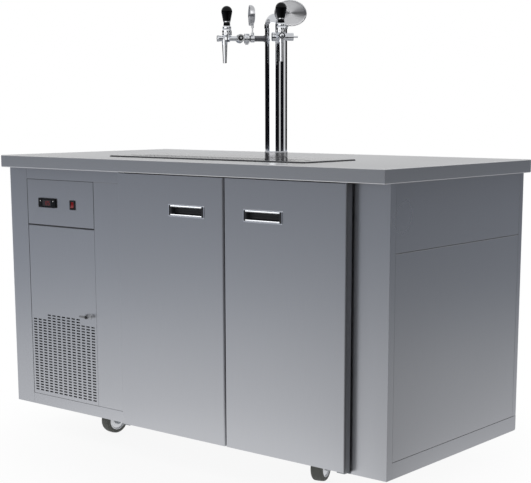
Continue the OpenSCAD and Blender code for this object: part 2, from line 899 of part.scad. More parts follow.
module coupling_nuts() {
    notch_n = 6;
    color(chrome) for (i = [0, 1]) at_tap(i) difference() {
        union() {
            bar_x(nut_r, nut_x0, nut_x1);
            translate([(nut_x0 + nut_x1) / 2, 0, -nut_r - 1]) cube([8, 7, 4], center = true);
        }
        bar_x(shank_r + fit, nut_x0 - over, shank_x1 + fit);
        bar_x(body_r + 1 + fit, shank_x1, nut_x1 + over);
        for (k = [0:notch_n - 1]) rotate([360 / notch_n * (k + 0.5), 0, 0])
            translate([(nut_x0 + nut_x1) / 2, 0, nut_r]) cube([5, 5, 4], center = true);
    }
}

module badge_clamps() {
    ring_w = 10;
    ring_r = 10.2;
    color(chrome) for (i = [0, 1]) at_tap(i) difference() {
        union() {
            bar_x(ring_r, ring_x0, ring_x0 + ring_w);
            rotate([-rod_lean[i], 0, 0]) translate([rod_x, 0, 0]) {
                cylinder(r = 4, h = 16);
                cylinder(r = rod_r, h = rod_len[i]);
            }
            rod_end(i, 0);
        }
        bar_x(shank_r + fit, ring_x0 - over, ring_x0 + ring_w + over);
    }
}

// Thick end of a badge's rod, or its hole in the badge
module rod_end(i, gap) {
    end_h = 16;
    rotate([-rod_lean[i], 0, 0]) translate([rod_x, 0, rod_len[i] - end_h])
        cylinder(r = rod_end_r + gap, h = end_h + gap);
}

// Oval outline with the given half width and half height
function oval(a, b) = [for (k = [0:63]) [a * cos(k * 360 / 64), b * sin(k * 360 / 64)]];

module badge_plates() {
    plate_x = rod_x + 5;
    face_t = 3.5;
    back_t = 10;
    skin = 0.01;
    rim = 4;
    rim_h = 0.8;
    color(steel) for (i = [0, 1]) at_tap(i) difference() {
        translate([plate_x, badge_side[i], badge_rise[i]]) rotate([-badge_lean[i], 0, 0]) rotate([90, 0, 90])
            difference() {
                union() {
                    linear_extrude(face_t) polygon(oval(badge_w / 2, badge_h[i] / 2));
                    hull() {
                        translate([0, 0, -skin]) linear_extrude(skin)
                            polygon(oval(badge_w / 2 - 2, badge_h[i] / 2 - 2));
                        translate([0, 0, -back_t]) linear_extrude(1)
                            polygon(oval(badge_w / 2 - 12, badge_h[i] / 2 - 9));
                    }
                    translate([0, 0, -back_t - 2]) cylinder(r = 4, h = 3);
                }
                translate([0, 0, face_t - rim_h]) linear_extrude(face_t)
                    polygon(oval(badge_w / 2 - rim, badge_h[i] / 2 - rim));
            }
        rod_end(i, fit);
    }
}

module tap_bodies() {
    collar_r = body_r + 1;
    neck_r = body_r - 1.5;
    nose_len = 16;
    flare = body_r + 1;
    barrel_r = body_r + 0.5;
    cap_r = 11.5;
    cap_len = 10;
    seat_r = 11;
    color(chrome) for (i = [0, 1]) at_tap(i) difference() {
        union() {
            bar_x(collar_r, shank_x1 + 0.2, nut_x1);
            bar_x(neck_r, nut_x1, nose_x - nose_len / 2);
            translate([nose_x, 0, 0]) rotate([0, -90, 0]) rotate_extrude()
                polygon([[0, 0], [body_r, 0], [flare, 1.5], [body_r, 6], [body_r - 1, nose_len],
                    [0, nose_len]]);
            // Barrel of the compensator, across the tap, with a cap at its closed end
            translate([comp_x, 0, 0]) bar_y(barrel_r, -barrel_back, barrel_front);
            translate([comp_x, 0, 0]) bar_y(cap_r, -barrel_back, cap_len - barrel_back);
            // Seat of the bonnet and stub of the spout
            translate([lever_x, 0, 0]) rotate_extrude()
                polygon([[0, -collar_r], [body_r, -collar_r], [collar_r, -4], [collar_r, 3],
                    [seat_r, bonnet_z0], [0, bonnet_z0]]);
            translate([spout_x, 0, -stub_len]) cylinder(r = stub_r, h = stub_len);
        }
        translate([comp_x, 0, 0])
            bar_y(pin_shaft_r + fit, barrel_front - pin_shaft - over, barrel_front + over);
    }
}

module tap_spouts() {
    bore_r = 3.6;
    top = spout_len - stub_len;
    color(chrome) for (i = [0, 1]) at_tap(i) translate([spout_x, 0, -spout_len]) rotate_extrude()
        polygon([[bore_r, 0], [5, 0], [5.4, 12], [stub_r - 0.5, top - 5], [stub_r, top], [bore_r, top]]);
}

// Knurled bonnet with a spherical top and the slot that the lever's stem swings in
module tap_bonnets() {
    z0 = bonnet_z0;
    shoulder = pivot_up - 1;
    flutes = 16;
    color(chrome) for (i = [0, 1]) at_tap(i) translate([lever_x, 0, 0]) difference() {
        union() {
            translate([0, 0, z0]) cylinder(r = bonnet_r, h = shoulder - z0);
            translate([0, 0, pivot_up]) rotate_extrude() intersection() {
                circle(dome_r);
                translate([0, -1]) square([dome_r, dome_r + 1]);
            }
        }
        for (k = [0:flutes - 1]) rotate(360 / flutes * k) translate([bonnet_r + 0.6, 0, z0 + 2])
            cylinder(r = 1.4, h = shoulder - z0 - 4);
        translate([0, 0, pivot_up]) sphere(ball_r + rest_gap);
        translate([0, 0, pivot_up]) rotate([90, 0, 0]) linear_extrude(2 * (stem_r + rest_gap), center = true)
            slot_sector(stem_r + 2 * rest_gap, dome_r + over);
    }
}

// Envelope of the stem in the plane that it swings in
module slot_sector(half, reach) {
    a = [-push_max, pull_max];
    e = [for (t = a) [reach * sin(t), reach * cos(t)]];
    n = [for (t = a) [half * cos(t), -half * sin(t)]];
    polygon([-n[0], e[0] - n[0], [0, reach + over], e[1] + n[1], n[1]]);
}

// Lever: ball, stem, dished cup over the bonnet, collar, ring and pear-shaped grip
module lever(i) {
    dish_r = dome_r + rest_gap;
    cup_r = 11.2;
    cup_z1 = pivot_up + 14.5;
    collar_r = 9;
    collar_z1 = pivot_up + 23.5;
    ring_r = 9.7;
    ring_h = 4;
    grip_z0 = collar_z1 + ring_h;
    taper = 11;
    head_z = grip_z0 + grip_len - grip_r;
    rt = grip_r * cos(taper);
    zt = head_z - grip_r * sin(taper);
    color(dark) at_tap(i) translate([lever_x, 0, 0]) {
        translate([0, 0, pivot_up]) sphere(ball_r);
        translate([0, 0, pivot_up]) cylinder(r = stem_r, h = 14);
        difference() {
            translate([0, 0, pivot_up]) rotate_extrude()
                polygon([[0, 2], [cup_r, 2], [cup_r, cup_z1 - pivot_up - 1.5], [collar_r, cup_z1 - pivot_up],
                    [0, cup_z1 - pivot_up]]);
            translate([0, 0, pivot_up]) difference() {
                sphere(dish_r);
                cylinder(r = stem_r, h = dish_r + over);
            }
        }
        translate([0, 0, cup_z1]) cylinder(r1 = collar_r, r2 = collar_r - 0.5, h = collar_z1 - cup_z1);
        translate([0, 0, collar_z1]) cylinder(r = ring_r, h = ring_h);
        rotate_extrude() {
            intersection() {
                translate([0, head_z]) circle(grip_r);
                translate([0, zt]) square(3 * grip_r);
            }
            polygon([[0, grip_z0], [rt - (zt - grip_z0) * tan(taper), grip_z0], [rt, zt], [0, zt]]);
        }
    }
}

module compensator(i) {
    knob_r = 10.2;
    y0 = barrel_front + rest_gap;
    y1 = y0 + 17.7;
    stem_len = 12;
    screw_r = 2.5;
    dish = 3;
    grips = 8;
    color(chrome) at_tap(i) translate([comp_x, 0, 0]) {
        bar_y(pin_shaft_r, barrel_front - pin_shaft, y0 + over);
        bar_y(screw_r, y0, y1 + stem_len);
        difference() {
            bar_y(knob_r, y0, y1);
            for (k = [0:grips - 1]) rotate([0, 360 / grips * (k + 0.5), 0]) translate([knob_r + 0.4, 0, 0])
                bar_y(1.4, y0 + 4, y1 + over);
            difference() {
                bar_y(knob_r - dish, y1 - dish, y1 + over);
                bar_y(screw_r, y0, y1 + 2 * over);
            }
        }
    }
}

// Lines run from the shanks down the column to a plate with two barbs under the cold room's lid
module beverage_lines() {
    line_r = 4;
    bend = 8;
    plate_z = cab_top - lid_t;
    drop_x = shank_x0 - bend;
    color([0.85, 0.85, 0.8]) {
        for (i = [0, 1]) at_tap(i) {
            translate([shank_x0, 0, -bend]) rotate([90, 0, 0]) rotate([0, 0, 90])
                rotate_extrude(angle = 90) translate([bend, 0]) circle(line_r);
            translate([drop_x, 0, plate_z - tap_z]) cylinder(r = line_r, h = tap_z - plate_z - bend);
        }
        translate([tower_x, tower_y, plate_z - 4]) cylinder(r = line_hole_r + 8, h = 4);
        for (s = [-1, 1]) translate([tower_x + s * barb_dx, tower_y, plate_z - 4 - barb_len])
            cylinder(r = barb_r, h = barb_len);
    }
}

// Refrigeration

module compressor() {
    r = compressor_r;
    foot_h = 12;
    foot_r = 11;
    foot_x = 80;
    foot_y = 52;
    plate = [190, 130, 3];
    belly_h = 125;
    crown_h = 40;
    crown_r = (r * r + crown_h * crown_h) / (2 * crown_h);
    terminals = [36, 60, 60];
    pipe_r = 4;
    pipe_len = 30;
    body_z = room_z0 + foot_h + plate[2];
    color(dark) translate([compressor_x, compressor_y, 0]) {
        translate([0, 0, body_z]) rotate_extrude() {
            polygon([[0, 0], [0.77 * r, 0], [0.95 * r, 0.13 * r], [r, 0.3 * r], [r, belly_h], [0, belly_h]]);
            translate([0, belly_h]) intersection() {
                translate([0, crown_h - crown_r]) circle(crown_r);
                square([r, crown_h]);
            }
        }
        translate([0, 0, body_z - plate[2] / 2]) cube(plate, center = true);
        for (sx = [-1, 1], sy = [-1, 1]) translate([sx * foot_x, sy * foot_y, room_z0])
            cylinder(r = foot_r, h = foot_h);
        translate([-r, 0, body_z + belly_h / 2]) cube(terminals, center = true);
        for (x = [-0.25, 0.25]) translate([x * r, 0, body_z + belly_h / 2]) bar_y(pipe_r, -r - pipe_len, 0);
    }
}

module condenser() {
    fin_n = 30;
    fin_t = 2;
    fin_d = 6;
    end_t = 2;
    end_rise = 6;
    margin = 6;
    stand = 20;
    bend_n = 5;
    bend_r = 13;
    z0 = room_z0 + stand;
    pitch = (cond_x1 - cond_x0 - 2 * margin) / fin_n;
    bend_pitch = (cond_h - stand) / bend_n;
    color([0.3, 0.3, 0.32]) {
        difference() {
            box([cond_x0 + end_t, cond_y0, z0], [cond_x1 - end_t, cond_y1, cond_z1]);
            for (i = [0:fin_n - 1])
                translate([cond_x0 + margin + (i + 0.5) * pitch, cond_y0, (z0 + cond_z1) / 2])
                    cube([pitch - fin_t, 2 * fin_d, cond_h], center = true);
        }
        for (x = [cond_x0, cond_x1 - end_t])
            box([x, cond_y0 - end_t, room_z0], [x + end_t, cond_y1, cond_z1 + end_rise]);
        for (i = [0:bend_n - 1])
            translate([cond_x1, (cond_y0 + cond_y1) / 2, z0 + (i + 0.5) * bend_pitch]) tube_bend(bend_r);
    }
}

// Half-round return bend of a condenser tube, standing on a plate that faces +X
module tube_bend(r) {
    rotate([90, 0, 0]) rotate([0, 0, -90]) rotate_extrude(angle = 180) translate([r, 0]) circle(3.5);
}

module fan_shroud() {
    tip_gap = 6;
    ring_r = fan_r + tip_gap;
    ring_t = 2;
    ring_d = 34;
    motor_r = 30;
    motor_len = 45;
    motor_y0 = fan_y1 + 6;
    arm_w = 10;
    arm_t = 3;
    arm_y0 = motor_y0 + 2;
    color(dark) {
        difference() {
            union() {
                box([cond_x0, cond_y1, room_z0], [cond_x1, cond_y1 + ring_t, cond_z1]);
                translate([fan_x, 0, fan_z]) bar_y(ring_r + ring_t, cond_y1, cond_y1 + ring_d);
            }
            translate([fan_x, 0, fan_z]) bar_y(ring_r, cond_y1 - over, cond_y1 + ring_d + over);
        }
        translate([fan_x, 0, fan_z]) {
            bar_y(motor_r, motor_y0, motor_y0 + motor_len);
            bar_y(shaft_r, fan_y0 + 4, motor_y0 + over);
            for (a = [90, 210, 330]) rotate([0, a, 0]) {
                box([motor_r - 2, arm_y0, -arm_w / 2], [ring_r + ring_t, arm_y0 + arm_t, arm_w / 2]);
                box([ring_r, cond_y1 + ring_d - 2, -arm_w / 2], [ring_r + ring_t, arm_y0 + arm_t, arm_w / 2]);
            }
        }
    }
}

// Impeller about the Y axis: hub with a blind bore at its back and pitched blades
module impeller(r, hub_r, depth, n) {
    difference() {
        union() {
            bar_y(hub_r, 0, depth);
            for (k = [0:n - 1]) rotate([0, 360 / n * k, 0]) translate([hub_r - 2, depth / 2, 0])
                rotate([28, 0, 0]) rotate([90, 0, 0]) linear_extrude(2, center = true)
                    polygon([[0, -hub_r / 2], [r - hub_r - 6, -r / 4], [r - hub_r - 2, 0],
                        [r - hub_r - 6, r / 4], [0, hub_r / 2]]);
        }
        bar_y(shaft_r + fit, 3, depth + over);
    }
}

module condenser_fan() {
    hub_r = 26;
    color([0.15, 0.15, 0.16]) translate([fan_x, fan_y0, fan_z]) impeller(fan_r, hub_r, fan_t, 5);
}

// Box with a fan well, in which a motor and its shaft stand, and a ring guard on cross bars
module evaporator_housing() {
    well_r = evap_fan_r + 6;
    well_x = evap_x0 + 20;
    motor_r = 18;
    front_x = evap_x0 + evap_t;
    bar_w = 4;
    bar_t = 3;
    wire = 3;
    color([0.86, 0.87, 0.88]) {
        difference() {
            box([evap_x0, evap_y0, evap_z0], [front_x, evap_y0 + evap_w, evap_z0 + evap_h]);
            translate([0, evap_fan_y, evap_fan_z]) bar_x(well_r, well_x, front_x + over);
        }
        translate([0, evap_fan_y, evap_fan_z]) {
            bar_x(motor_r, well_x, evap_hub_x - 2);
            bar_x(shaft_r, well_x, evap_hub_x + evap_shaft);
            for (a = [0, 90]) rotate([a, 0, 0])
                box([front_x - bar_t, -well_r - wire, -bar_w / 2], [front_x, well_r + wire, bar_w / 2]);
            for (k = [1:3]) difference() {
                bar_x(k * well_r / 4 + wire, front_x - bar_t + 0.5, front_x - 0.5);
                bar_x(k * well_r / 4, front_x - bar_t, front_x);
            }
        }
    }
}

module evaporator_fan() {
    hub_r = 18;
    color([0.15, 0.15, 0.16]) translate([evap_hub_x + evap_fan_t, evap_fan_y, evap_fan_z]) rotate([0, 0, 90])
        impeller(evap_fan_r, hub_r, evap_fan_t, 5);
}

// Castors

module castor_plates() {
    color(steel) for (p = castor_at) translate([p[0], p[1], castor_h - plate_t]) difference() {
        translate([-plate_half, -plate_half, 0]) cube([2 * plate_half, 2 * plate_half, plate_t]);
        translate([0, 0, -over]) cylinder(r = king_r + fit, h = plate_t + 2 * over);
    }
}

// Places children in the frame of one castor: swivel axis at the origin, axle along X behind it
module at_castor(i) {
    translate([castor_at[i][0], castor_at[i][1], 0]) rotate([0, 0, castor_turn[i]]) children();
}

module fork(i) {
    crown_z1 = castor_h - plate_t - rest_gap;
    crown_h = 5;
    leg_x = wheel_w / 2 + leg_gap;
    crown_y1 = 24;
    nut_w = 7;
    nut_t = 2.5;
    color([0.66, 0.67, 0.69]) at_castor(i) {
        translate([0, 0, crown_z1 - crown_h]) cylinder(r = 26, h = crown_h);
        translate([0, 0, crown_z1 - crown_h]) cylinder(r = king_r, h = castor_h + 6 - crown_z1 + crown_h);
        box([-leg_x - leg_t, -20, crown_z1 - crown_h - leg_t], [leg_x + leg_t, crown_y1, crown_z1 - crown_h]);
        for (s = [-1, 1]) translate([s > 0 ? leg_x : -leg_x - leg_t, 0, 0]) rotate([90, 0, 90])
            linear_extrude(leg_t) leg_plan(crown_z1 - crown_h - leg_t, crown_y1);
        translate([0, trail, wheel_r]) bar_x(axle_r, -leg_x - leg_t - 2, leg_x + leg_t + 2);
        for (x = [-leg_x - leg_t - nut_t, leg_x + leg_t]) translate([0, trail, wheel_r])
            bar_x(nut_w, x, x + nut_t);
    }
}

// Side view of a fork leg, narrowing from the crown to a round end at the axle
module leg_plan(z1, y1) {
    end_r = 11;
    translate([trail, wheel_r]) circle(end_r);
    polygon([[-20, z1], [-20, z1 - 6], [trail - end_r * 0.94, wheel_r - end_r * 0.34],
        [trail + end_r * 0.98, wheel_r + end_r * 0.2], [y1 + 6, z1 - 12], [y1, z1]]);
}

module wheel(i) {
    hub_half = wheel_w / 2;
    tread_r = 5;
    color(dark) at_castor(i) translate([0, trail, wheel_r]) rotate([0, 90, 0])
        rotate_extrude() difference() {
        union() {
            translate([0, -hub_half + tread_r]) square([wheel_r, wheel_w - 2 * tread_r]);
            translate([0, -hub_half]) square([wheel_r - tread_r, wheel_w]);
            for (s = [-1, 1]) translate([wheel_r - tread_r, s * (hub_half - tread_r)]) circle(tread_r);
        }
        translate([0, -wheel_w]) square([axle_r + fit, 2 * wheel_w]);
        for (s = [-1, 1]) translate([12, s > 0 ? hub_half - 4 : -hub_half]) square([wheel_r - 22, 4]);
    }
}

// Castor bolts below their plates, and button-head screws round the back panel
module fasteners() {
    bolt_r = 5;
    bolt_h = 3;
    screw_r = 3.5;
    screw_h = 2;
    screw_in = 10;
    color(steel) {
        for (p = castor_at, sx = [-1, 1], sy = [-1, 1])
            translate([p[0] + sx * bolt_at, p[1] + sy * bolt_at, castor_h - plate_t - bolt_h])
                cylinder(r = bolt_r, h = bolt_h, $fn = 6);
        for (x = [-1, -1 / 3, 1 / 3, 1], z = [cab_bot + skirt_h + screw_in, cab_top - screw_in])
            translate([x * (cab_x - screw_in), 0, z]) bar_y(screw_r, back_y, back_y + screw_h);
    }
}

base_frame();
front_frame();
filler_panel();
left_side_panel();
right_side_panel();
right_upper_panel();
back_panel();
cold_room_shell();
worktop();
worktop_core();
drip_tray();
drip_grate();
tower_base();
tower_column();
tower_cap();
tap_shanks();
coupling_nuts();
tap_bodies();
tap_spouts();
tap_bonnets();
badge_clamps();
badge_plates();
beverage_lines();
control_panel();
thermostat();
gauge_key(0);  // upper_left_key
gauge_key(1);  // lower_left_key
gauge_key(2);  // upper_right_key
gauge_key(3);  // lower_right_key
switch_bezel();
power_rocker();
grille_panel();
panel_lock();
compressor();
condenser();
fan_shroud();
condenser_fan();
evaporator_housing();
evaporator_fan();
hinge_brackets();
door(-1);  // left_door
gasket(-1);  // left_gasket
pull(-1);  // left_pull
door(1);  // right_door
gasket(1);  // right_gasket
pull(1);  // right_pull
lever(0);  // left_lever
lever(1);  // right_lever
compensator(0);  // left_compensator
compensator(1);  // right_compensator
castor_plates();
fork(0);  // front_left_fork
fork(1);  // front_right_fork
fork(2);  // rear_left_fork
fork(3);  // rear_right_fork
wheel(0);  // front_left_wheel
wheel(1);  // front_right_wheel
wheel(2);  // rear_left_wheel
wheel(3);  // rear_right_wheel
fasteners();
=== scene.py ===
# Finishes, light and camera for the wine kegerator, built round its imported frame
import json
import math

import bmesh
import bpy
from mathutils import Matrix, Vector


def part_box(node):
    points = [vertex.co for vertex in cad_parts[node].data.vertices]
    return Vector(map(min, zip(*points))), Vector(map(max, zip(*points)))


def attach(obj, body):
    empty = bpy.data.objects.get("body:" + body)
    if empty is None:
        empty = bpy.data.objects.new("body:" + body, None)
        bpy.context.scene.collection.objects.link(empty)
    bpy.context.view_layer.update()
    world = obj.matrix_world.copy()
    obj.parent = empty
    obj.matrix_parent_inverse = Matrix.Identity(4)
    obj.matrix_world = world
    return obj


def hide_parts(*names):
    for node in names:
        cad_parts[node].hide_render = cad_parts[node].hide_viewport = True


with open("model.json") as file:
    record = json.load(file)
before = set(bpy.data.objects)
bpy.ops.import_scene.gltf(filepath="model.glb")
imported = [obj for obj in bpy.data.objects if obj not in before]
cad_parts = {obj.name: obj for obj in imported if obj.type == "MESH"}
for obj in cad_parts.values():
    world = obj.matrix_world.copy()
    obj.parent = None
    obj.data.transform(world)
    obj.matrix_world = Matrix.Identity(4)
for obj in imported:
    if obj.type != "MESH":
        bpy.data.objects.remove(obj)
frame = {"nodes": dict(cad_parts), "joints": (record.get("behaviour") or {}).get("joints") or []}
nodes = frame["nodes"]
joints = {joint["name"]: joint for joint in frame["joints"]}
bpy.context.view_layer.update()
scene = bpy.context.scene
scene.view_settings.view_transform = "Standard"
print("frame loaded:", len(nodes), "nodes")

mm = 0.001
towardsFront = (0, -1, 0)  # the way the doors face
sides = ("left", "right")
castors = ("front_left", "front_right", "rear_left", "rear_right")
keys = ("upper_left_key", "lower_left_key", "upper_right_key", "lower_right_key")


# Small helpers

def hexToLinear(code):
    channels = [int(code[i:i + 2], 16) / 255 for i in (1, 3, 5)]
    return [c / 12.92 if c < 0.04045 else ((c + 0.055) / 1.055) ** 2.4 for c in channels] + [1]


def addNode(tree, kind, inputs=None, **settings):
    # Adds a node; an input is either a fixed value or the output of another node
    node = tree.nodes.new(kind)
    for key, value in settings.items():
        setattr(node, key, value)
    for socket, value in (inputs or {}).items():
        if isinstance(value, bpy.types.NodeSocket):
            tree.links.new(value, node.inputs[socket])
        else:
            node.inputs[socket].default_value = value
    return node


def frontOf(node):
    # Middle of the front of a node's box
    low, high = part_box(node)
    return Vector(((low.x + high.x) / 2, low.y, (low.z + high.z) / 2))


def newMaterial(name, uniform):
    # Uniform holds what is the same all over, which is set on the shader itself
    material = bpy.data.materials.new(name)
    material.use_nodes = True
    tree = material.node_tree
    shader = next(n for n in tree.nodes if n.type == "BSDF_PRINCIPLED")
    for socket, value in uniform.items():
        shader.inputs[socket].default_value = value
    place = addNode(tree, "ShaderNodeTexCoord").outputs["Object"]
    return material, tree, shader, place


def unevenFinish(tree, shader, look, tones, gloss=None, relief=None, span=(0.3, 0.7)):
    # What most finishes share. Tones carries the colour from the look's dark to its light, gloss the
    # roughness over the look's scatter, and relief raises the surface by the look's depth in mm.
    # Span is the part of its range that the gloss pattern fills: noise keeps to the middle.
    colour = addNode(tree, "ShaderNodeMix", {
        0: tones, 6: hexToLinear(look["dark"]), 7: hexToLinear(look["light"])}, data_type="RGBA").outputs[2]
    tree.links.new(colour, shader.inputs["Base Color"])
    if gloss is not None:
        uneven = addNode(tree, "ShaderNodeMapRange", {
            "Value": gloss, "From Min": span[0], "From Max": span[1],
            "To Min": look["rough"] - look["scatter"], "To Max": look["rough"] + look["scatter"]}).outputs[0]
        tree.links.new(uneven, shader.inputs["Roughness"])
    if relief is not None:
        bump = addNode(tree, "ShaderNodeBump", {"Height": relief, "Distance": look["depth"] * mm}).outputs[0]
        tree.links.new(bump, shader.inputs["Normal"])
    return colour


# Materials

# Satin stainless steel, ground with a belt: fine straight grain on sheets that aren't quite flat,
# so that it mirrors the floor as a soft blur
satinSteel = {
    "light": "#D0D1D4", "dark": "#CACBCE", "rough": 0.29, "scatter": 0.025,
    "grain": 0.7,  # the belt leaves lines 0.1 mm wide, drawn coarser so that they show
    "grainLength": 60, "grainDepth": 0.0012, "cloud": 300, "buckle": 600, "buckleDepth": 0.03,
}

# The worktop is the same steel painted lighter, a painted brightening for the extra light it catches
worktopSteelPaintedLighter = dict(satinSteel, light="#E1E1E1", dark="#DADADA")


def satinSteelSheet(name, direction, look=satinSteel):
    material, tree, shader, place = newMaterial(name, {"Metallic": 1.0})
    stretch = [1 / (mm * (look["grainLength"] if axis == direction else look["grain"])) for axis in "XYZ"]
    lines = addNode(tree, "ShaderNodeMapping", {"Vector": place, "Scale": stretch}).outputs[0]
    grain = addNode(tree, "ShaderNodeTexNoise", {"Vector": lines, "Scale": 1.0, "Detail": 2.0}).outputs[0]
    cloud, buckle = [
        addNode(tree, "ShaderNodeTexNoise", {
            "Vector": place, "Scale": 1 / (look[size] * mm), "Detail": 0.0}).outputs[0]
        for size in ("cloud", "buckle")]
    unevenFinish(tree, shader, look, grain, cloud, span=(0, 1))
    wave = addNode(tree, "ShaderNodeBump", {"Height": buckle, "Distance": look["buckleDepth"] * mm})
    scratch = addNode(tree, "ShaderNodeBump", {
        "Height": grain, "Distance": look["grainDepth"] * mm, "Normal": wave.outputs[0]})
    tree.links.new(scratch.outputs[0], shader.inputs["Normal"])
    return material


# Tray steel, polished smoother than the worktop round it, with faint marks from wiping it front to back
trayPolish = {
    "light": "#C6C7CA", "dark": "#BABBBE", "rough": 0.12, "scatter": 0.04, "wipe": 45, "depth": 0.015,
}


def polishedSteel(look=trayPolish):
    material, tree, shader, place = newMaterial("polished_stainless", {"Metallic": 1.0})
    sweep = [1 / (mm * look["wipe"] * stretch) for stretch in (3, 1, 1)]
    across = addNode(tree, "ShaderNodeMapping", {"Vector": place, "Scale": sweep}).outputs[0]
    wipe = addNode(tree, "ShaderNodeTexNoise", {"Vector": across, "Scale": 1.0, "Detail": 4.0}).outputs[0]
    unevenFinish(tree, shader, look, wipe, wipe, wipe)
    return material


# Plating on turned brass and on steel caps: chrome is a mirror, satin nickel is blasted first and
# scatters the light, and black nickel and zinc are duller still. Hands and wear leave patches of
# haze about a centimetre across.
platings = {
    "bright_chrome_plate": {"light": "#EDEEF0", "dark": "#E4E6E9", "rough": 0.0375, "scatter": 0.0075,
                            "patch": 14},
    "satin_nickel_plate": {"light": "#C6C6C8", "dark": "#B8B8BB", "rough": 0.23, "scatter": 0.03, "patch": 9},
    "black_nickel_plate": {"light": "#858588", "dark": "#78787C", "rough": 0.39, "scatter": 0.03, "patch": 9},
    "bright_zinc_plate": {"light": "#E4E5E6", "dark": "#D8D9DB", "rough": 0.445, "scatter": 0.025,
                          "patch": 12},
}


def plated(name):
    look = platings[name]
    material, tree, shader, place = newMaterial(name, {"Metallic": 1.0})
    haze = addNode(tree, "ShaderNodeTexNoise", {
        "Vector": place, "Scale": 1 / (look["patch"] * mm), "Detail": 3.0}).outputs[0]
    unevenFinish(tree, shader, look, haze, haze)
    return material


# Spun aluminium: circles left by the spinning tool spread the light into a fan about the middle
spunMetal = {
    "light": "#E2E2E3", "dark": "#CDCDCF", "rough": 0.4, "scatter": 0.04, "ring": 0.9, "depth": 0.006,
    "anisotropy": 0.95, "turn": 0.25,  # a quarter turn spreads the light across the grooves
}


def spunAluminium(look=spunMetal):
    material, tree, shader, place = newMaterial("spun_aluminium", {
        "Metallic": 1.0, "Anisotropic": look["anisotropy"], "Anisotropic Rotation": look["turn"]})
    flat = addNode(tree, "ShaderNodeVectorMath", {0: place, 1: (1, 1, 0)}, operation="MULTIPLY").outputs[0]
    radius = addNode(tree, "ShaderNodeVectorMath", {0: flat}, operation="LENGTH").outputs["Value"]
    turns = addNode(tree, "ShaderNodeMath", {0: radius, 1: 1 / (look["ring"] * mm)}, operation="MULTIPLY")
    rings = addNode(tree, "ShaderNodeTexNoise", {
        "W": turns.outputs[0], "Scale": 1.0, "Detail": 3.0}, noise_dimensions="1D").outputs[0]
    unevenFinish(tree, shader, look, rings, rings, rings)
    tangent = addNode(tree, "ShaderNodeTangent", direction_type="RADIAL", axis="Z").outputs[0]
    tree.links.new(tangent, shader.inputs["Tangent"])
    return material


# Hot-dip galvanised steel: zinc crystals of 8 mm or so, each a slightly different grey
zincCoat = {"light": "#A9ADB0", "dark": "#7F8488", "rough": 0.39, "scatter": 0.09, "crystal": 8}


def galvanisedSteel(look=zincCoat):
    material, tree, shader, place = newMaterial("galvanised_steel", {"Metallic": 0.9})
    cells = addNode(tree, "ShaderNodeTexVoronoi", {"Vector": place, "Scale": 1 / (look["crystal"] * mm)})
    grey = addNode(tree, "ShaderNodeSeparateColor", {0: cells.outputs["Color"]}).outputs[0]
    unevenFinish(tree, shader, look, grey, grey, span=(0, 1))
    return material


# Moulded, sprayed and rolled finishes: colour and gloss drift slowly over the piece, and a fine
# texture breaks the highlight. Drift and texture are the sizes of their blobs in mm.
coats = {
    # Bezel plastic with a light spark-eroded texture; also the painted shade and painted dark reflection on
    # the taps
    "moulded_black_abs_and_painted_dark": {"light": "#1B1B1D", "dark": "#131314", "rough": 0.34, "scatter": 0.06,
                          "drift": 20, "texture": 1.6, "depth": 0.02, "ior": 1.54},
    # Front of the thermostat, moulded against a polished tool
    "glossy_black_abs": {"light": "#060608", "dark": "#040405", "rough": 0.12, "scatter": 0.03,
                         "drift": 25, "texture": 2, "depth": 0.004, "ior": 1.3},
    # Grip of the tap, turned and buffed until it is nearly a mirror
    "polished_black_phenolic": {"light": "#050506", "dark": "#030304", "rough": 0.14, "scatter": 0.03,
                                "drift": 30, "texture": 2.5, "depth": 0.004, "ior": 1.3},
    # Cup of the pull: a softer plastic than the bezel
    "black_polypropylene": {"light": "#26272C", "dark": "#1D1E22", "rough": 0.45, "scatter": 0.06,
                            "drift": 20, "texture": 1.7, "depth": 0.02, "ior": 1.49},
    # Soft extrusion, matt and a little uneven; also the painted shade strips round the control panel and the
    # tray
    "grey_vinyl_gasket_and_painted_shade": {"light": "#3B3C3F", "dark": "#2E2F32", "rough": 0.6, "scatter": 0.06,
                          "drift": 12, "texture": 1, "depth": 0.05, "ior": 1.52},
    # Tyre tread, dusty from the floor
    "grey_tyre_rubber": {"light": "#70716B", "dark": "#5A5B56", "rough": 0.6, "scatter": 0.08,
                         "drift": 15, "texture": 1.2, "depth": 0.08, "ior": 1.5},
    # Stove enamel over a steel shell, with a shallow orange peel
    "black_compressor_enamel": {"light": "#151517", "dark": "#0E0E10", "rough": 0.28, "scatter": 0.06,
                                "drift": 40, "texture": 3.3, "depth": 0.1, "ior": 1.5},
    # Baked enamel of the cold room, smooth enough to wipe
    "white_enamelled_liner": {"light": "#E6E7E4", "dark": "#DADBD8", "rough": 0.35, "scatter": 0.05,
                              "drift": 60, "texture": 5, "depth": 0.03, "ior": 1.5},
    # Screen-printed ink of the dots on the keys
    "white_key_print": {"light": "#F4F4F4", "dark": "#E8E8E8", "rough": 0.5, "scatter": 0.05,
                        "drift": 3, "texture": 0.6, "depth": 0.01, "ior": 1.5},
}


def coated(name):
    look = coats[name]
    material, tree, shader, place = newMaterial(name, {"IOR": look["ior"]})
    drift = addNode(tree, "ShaderNodeTexNoise", {
        "Vector": place, "Scale": 1 / (look["drift"] * mm), "Detail": 3.0}).outputs[0]
    texture = addNode(tree, "ShaderNodeTexNoise", {
        "Vector": place, "Scale": 1 / (look["texture"] * mm), "Detail": 2.0}).outputs[0]
    unevenFinish(tree, shader, look, drift, drift, texture)
    return material


# Condenser: mill aluminium fins pressed a millimetre or two apart, dull and slightly uneven
finStock = {"light": "#A4A6A8", "dark": "#8B8E91", "rough": 0.4, "drift": 20, "depth": 0.03}


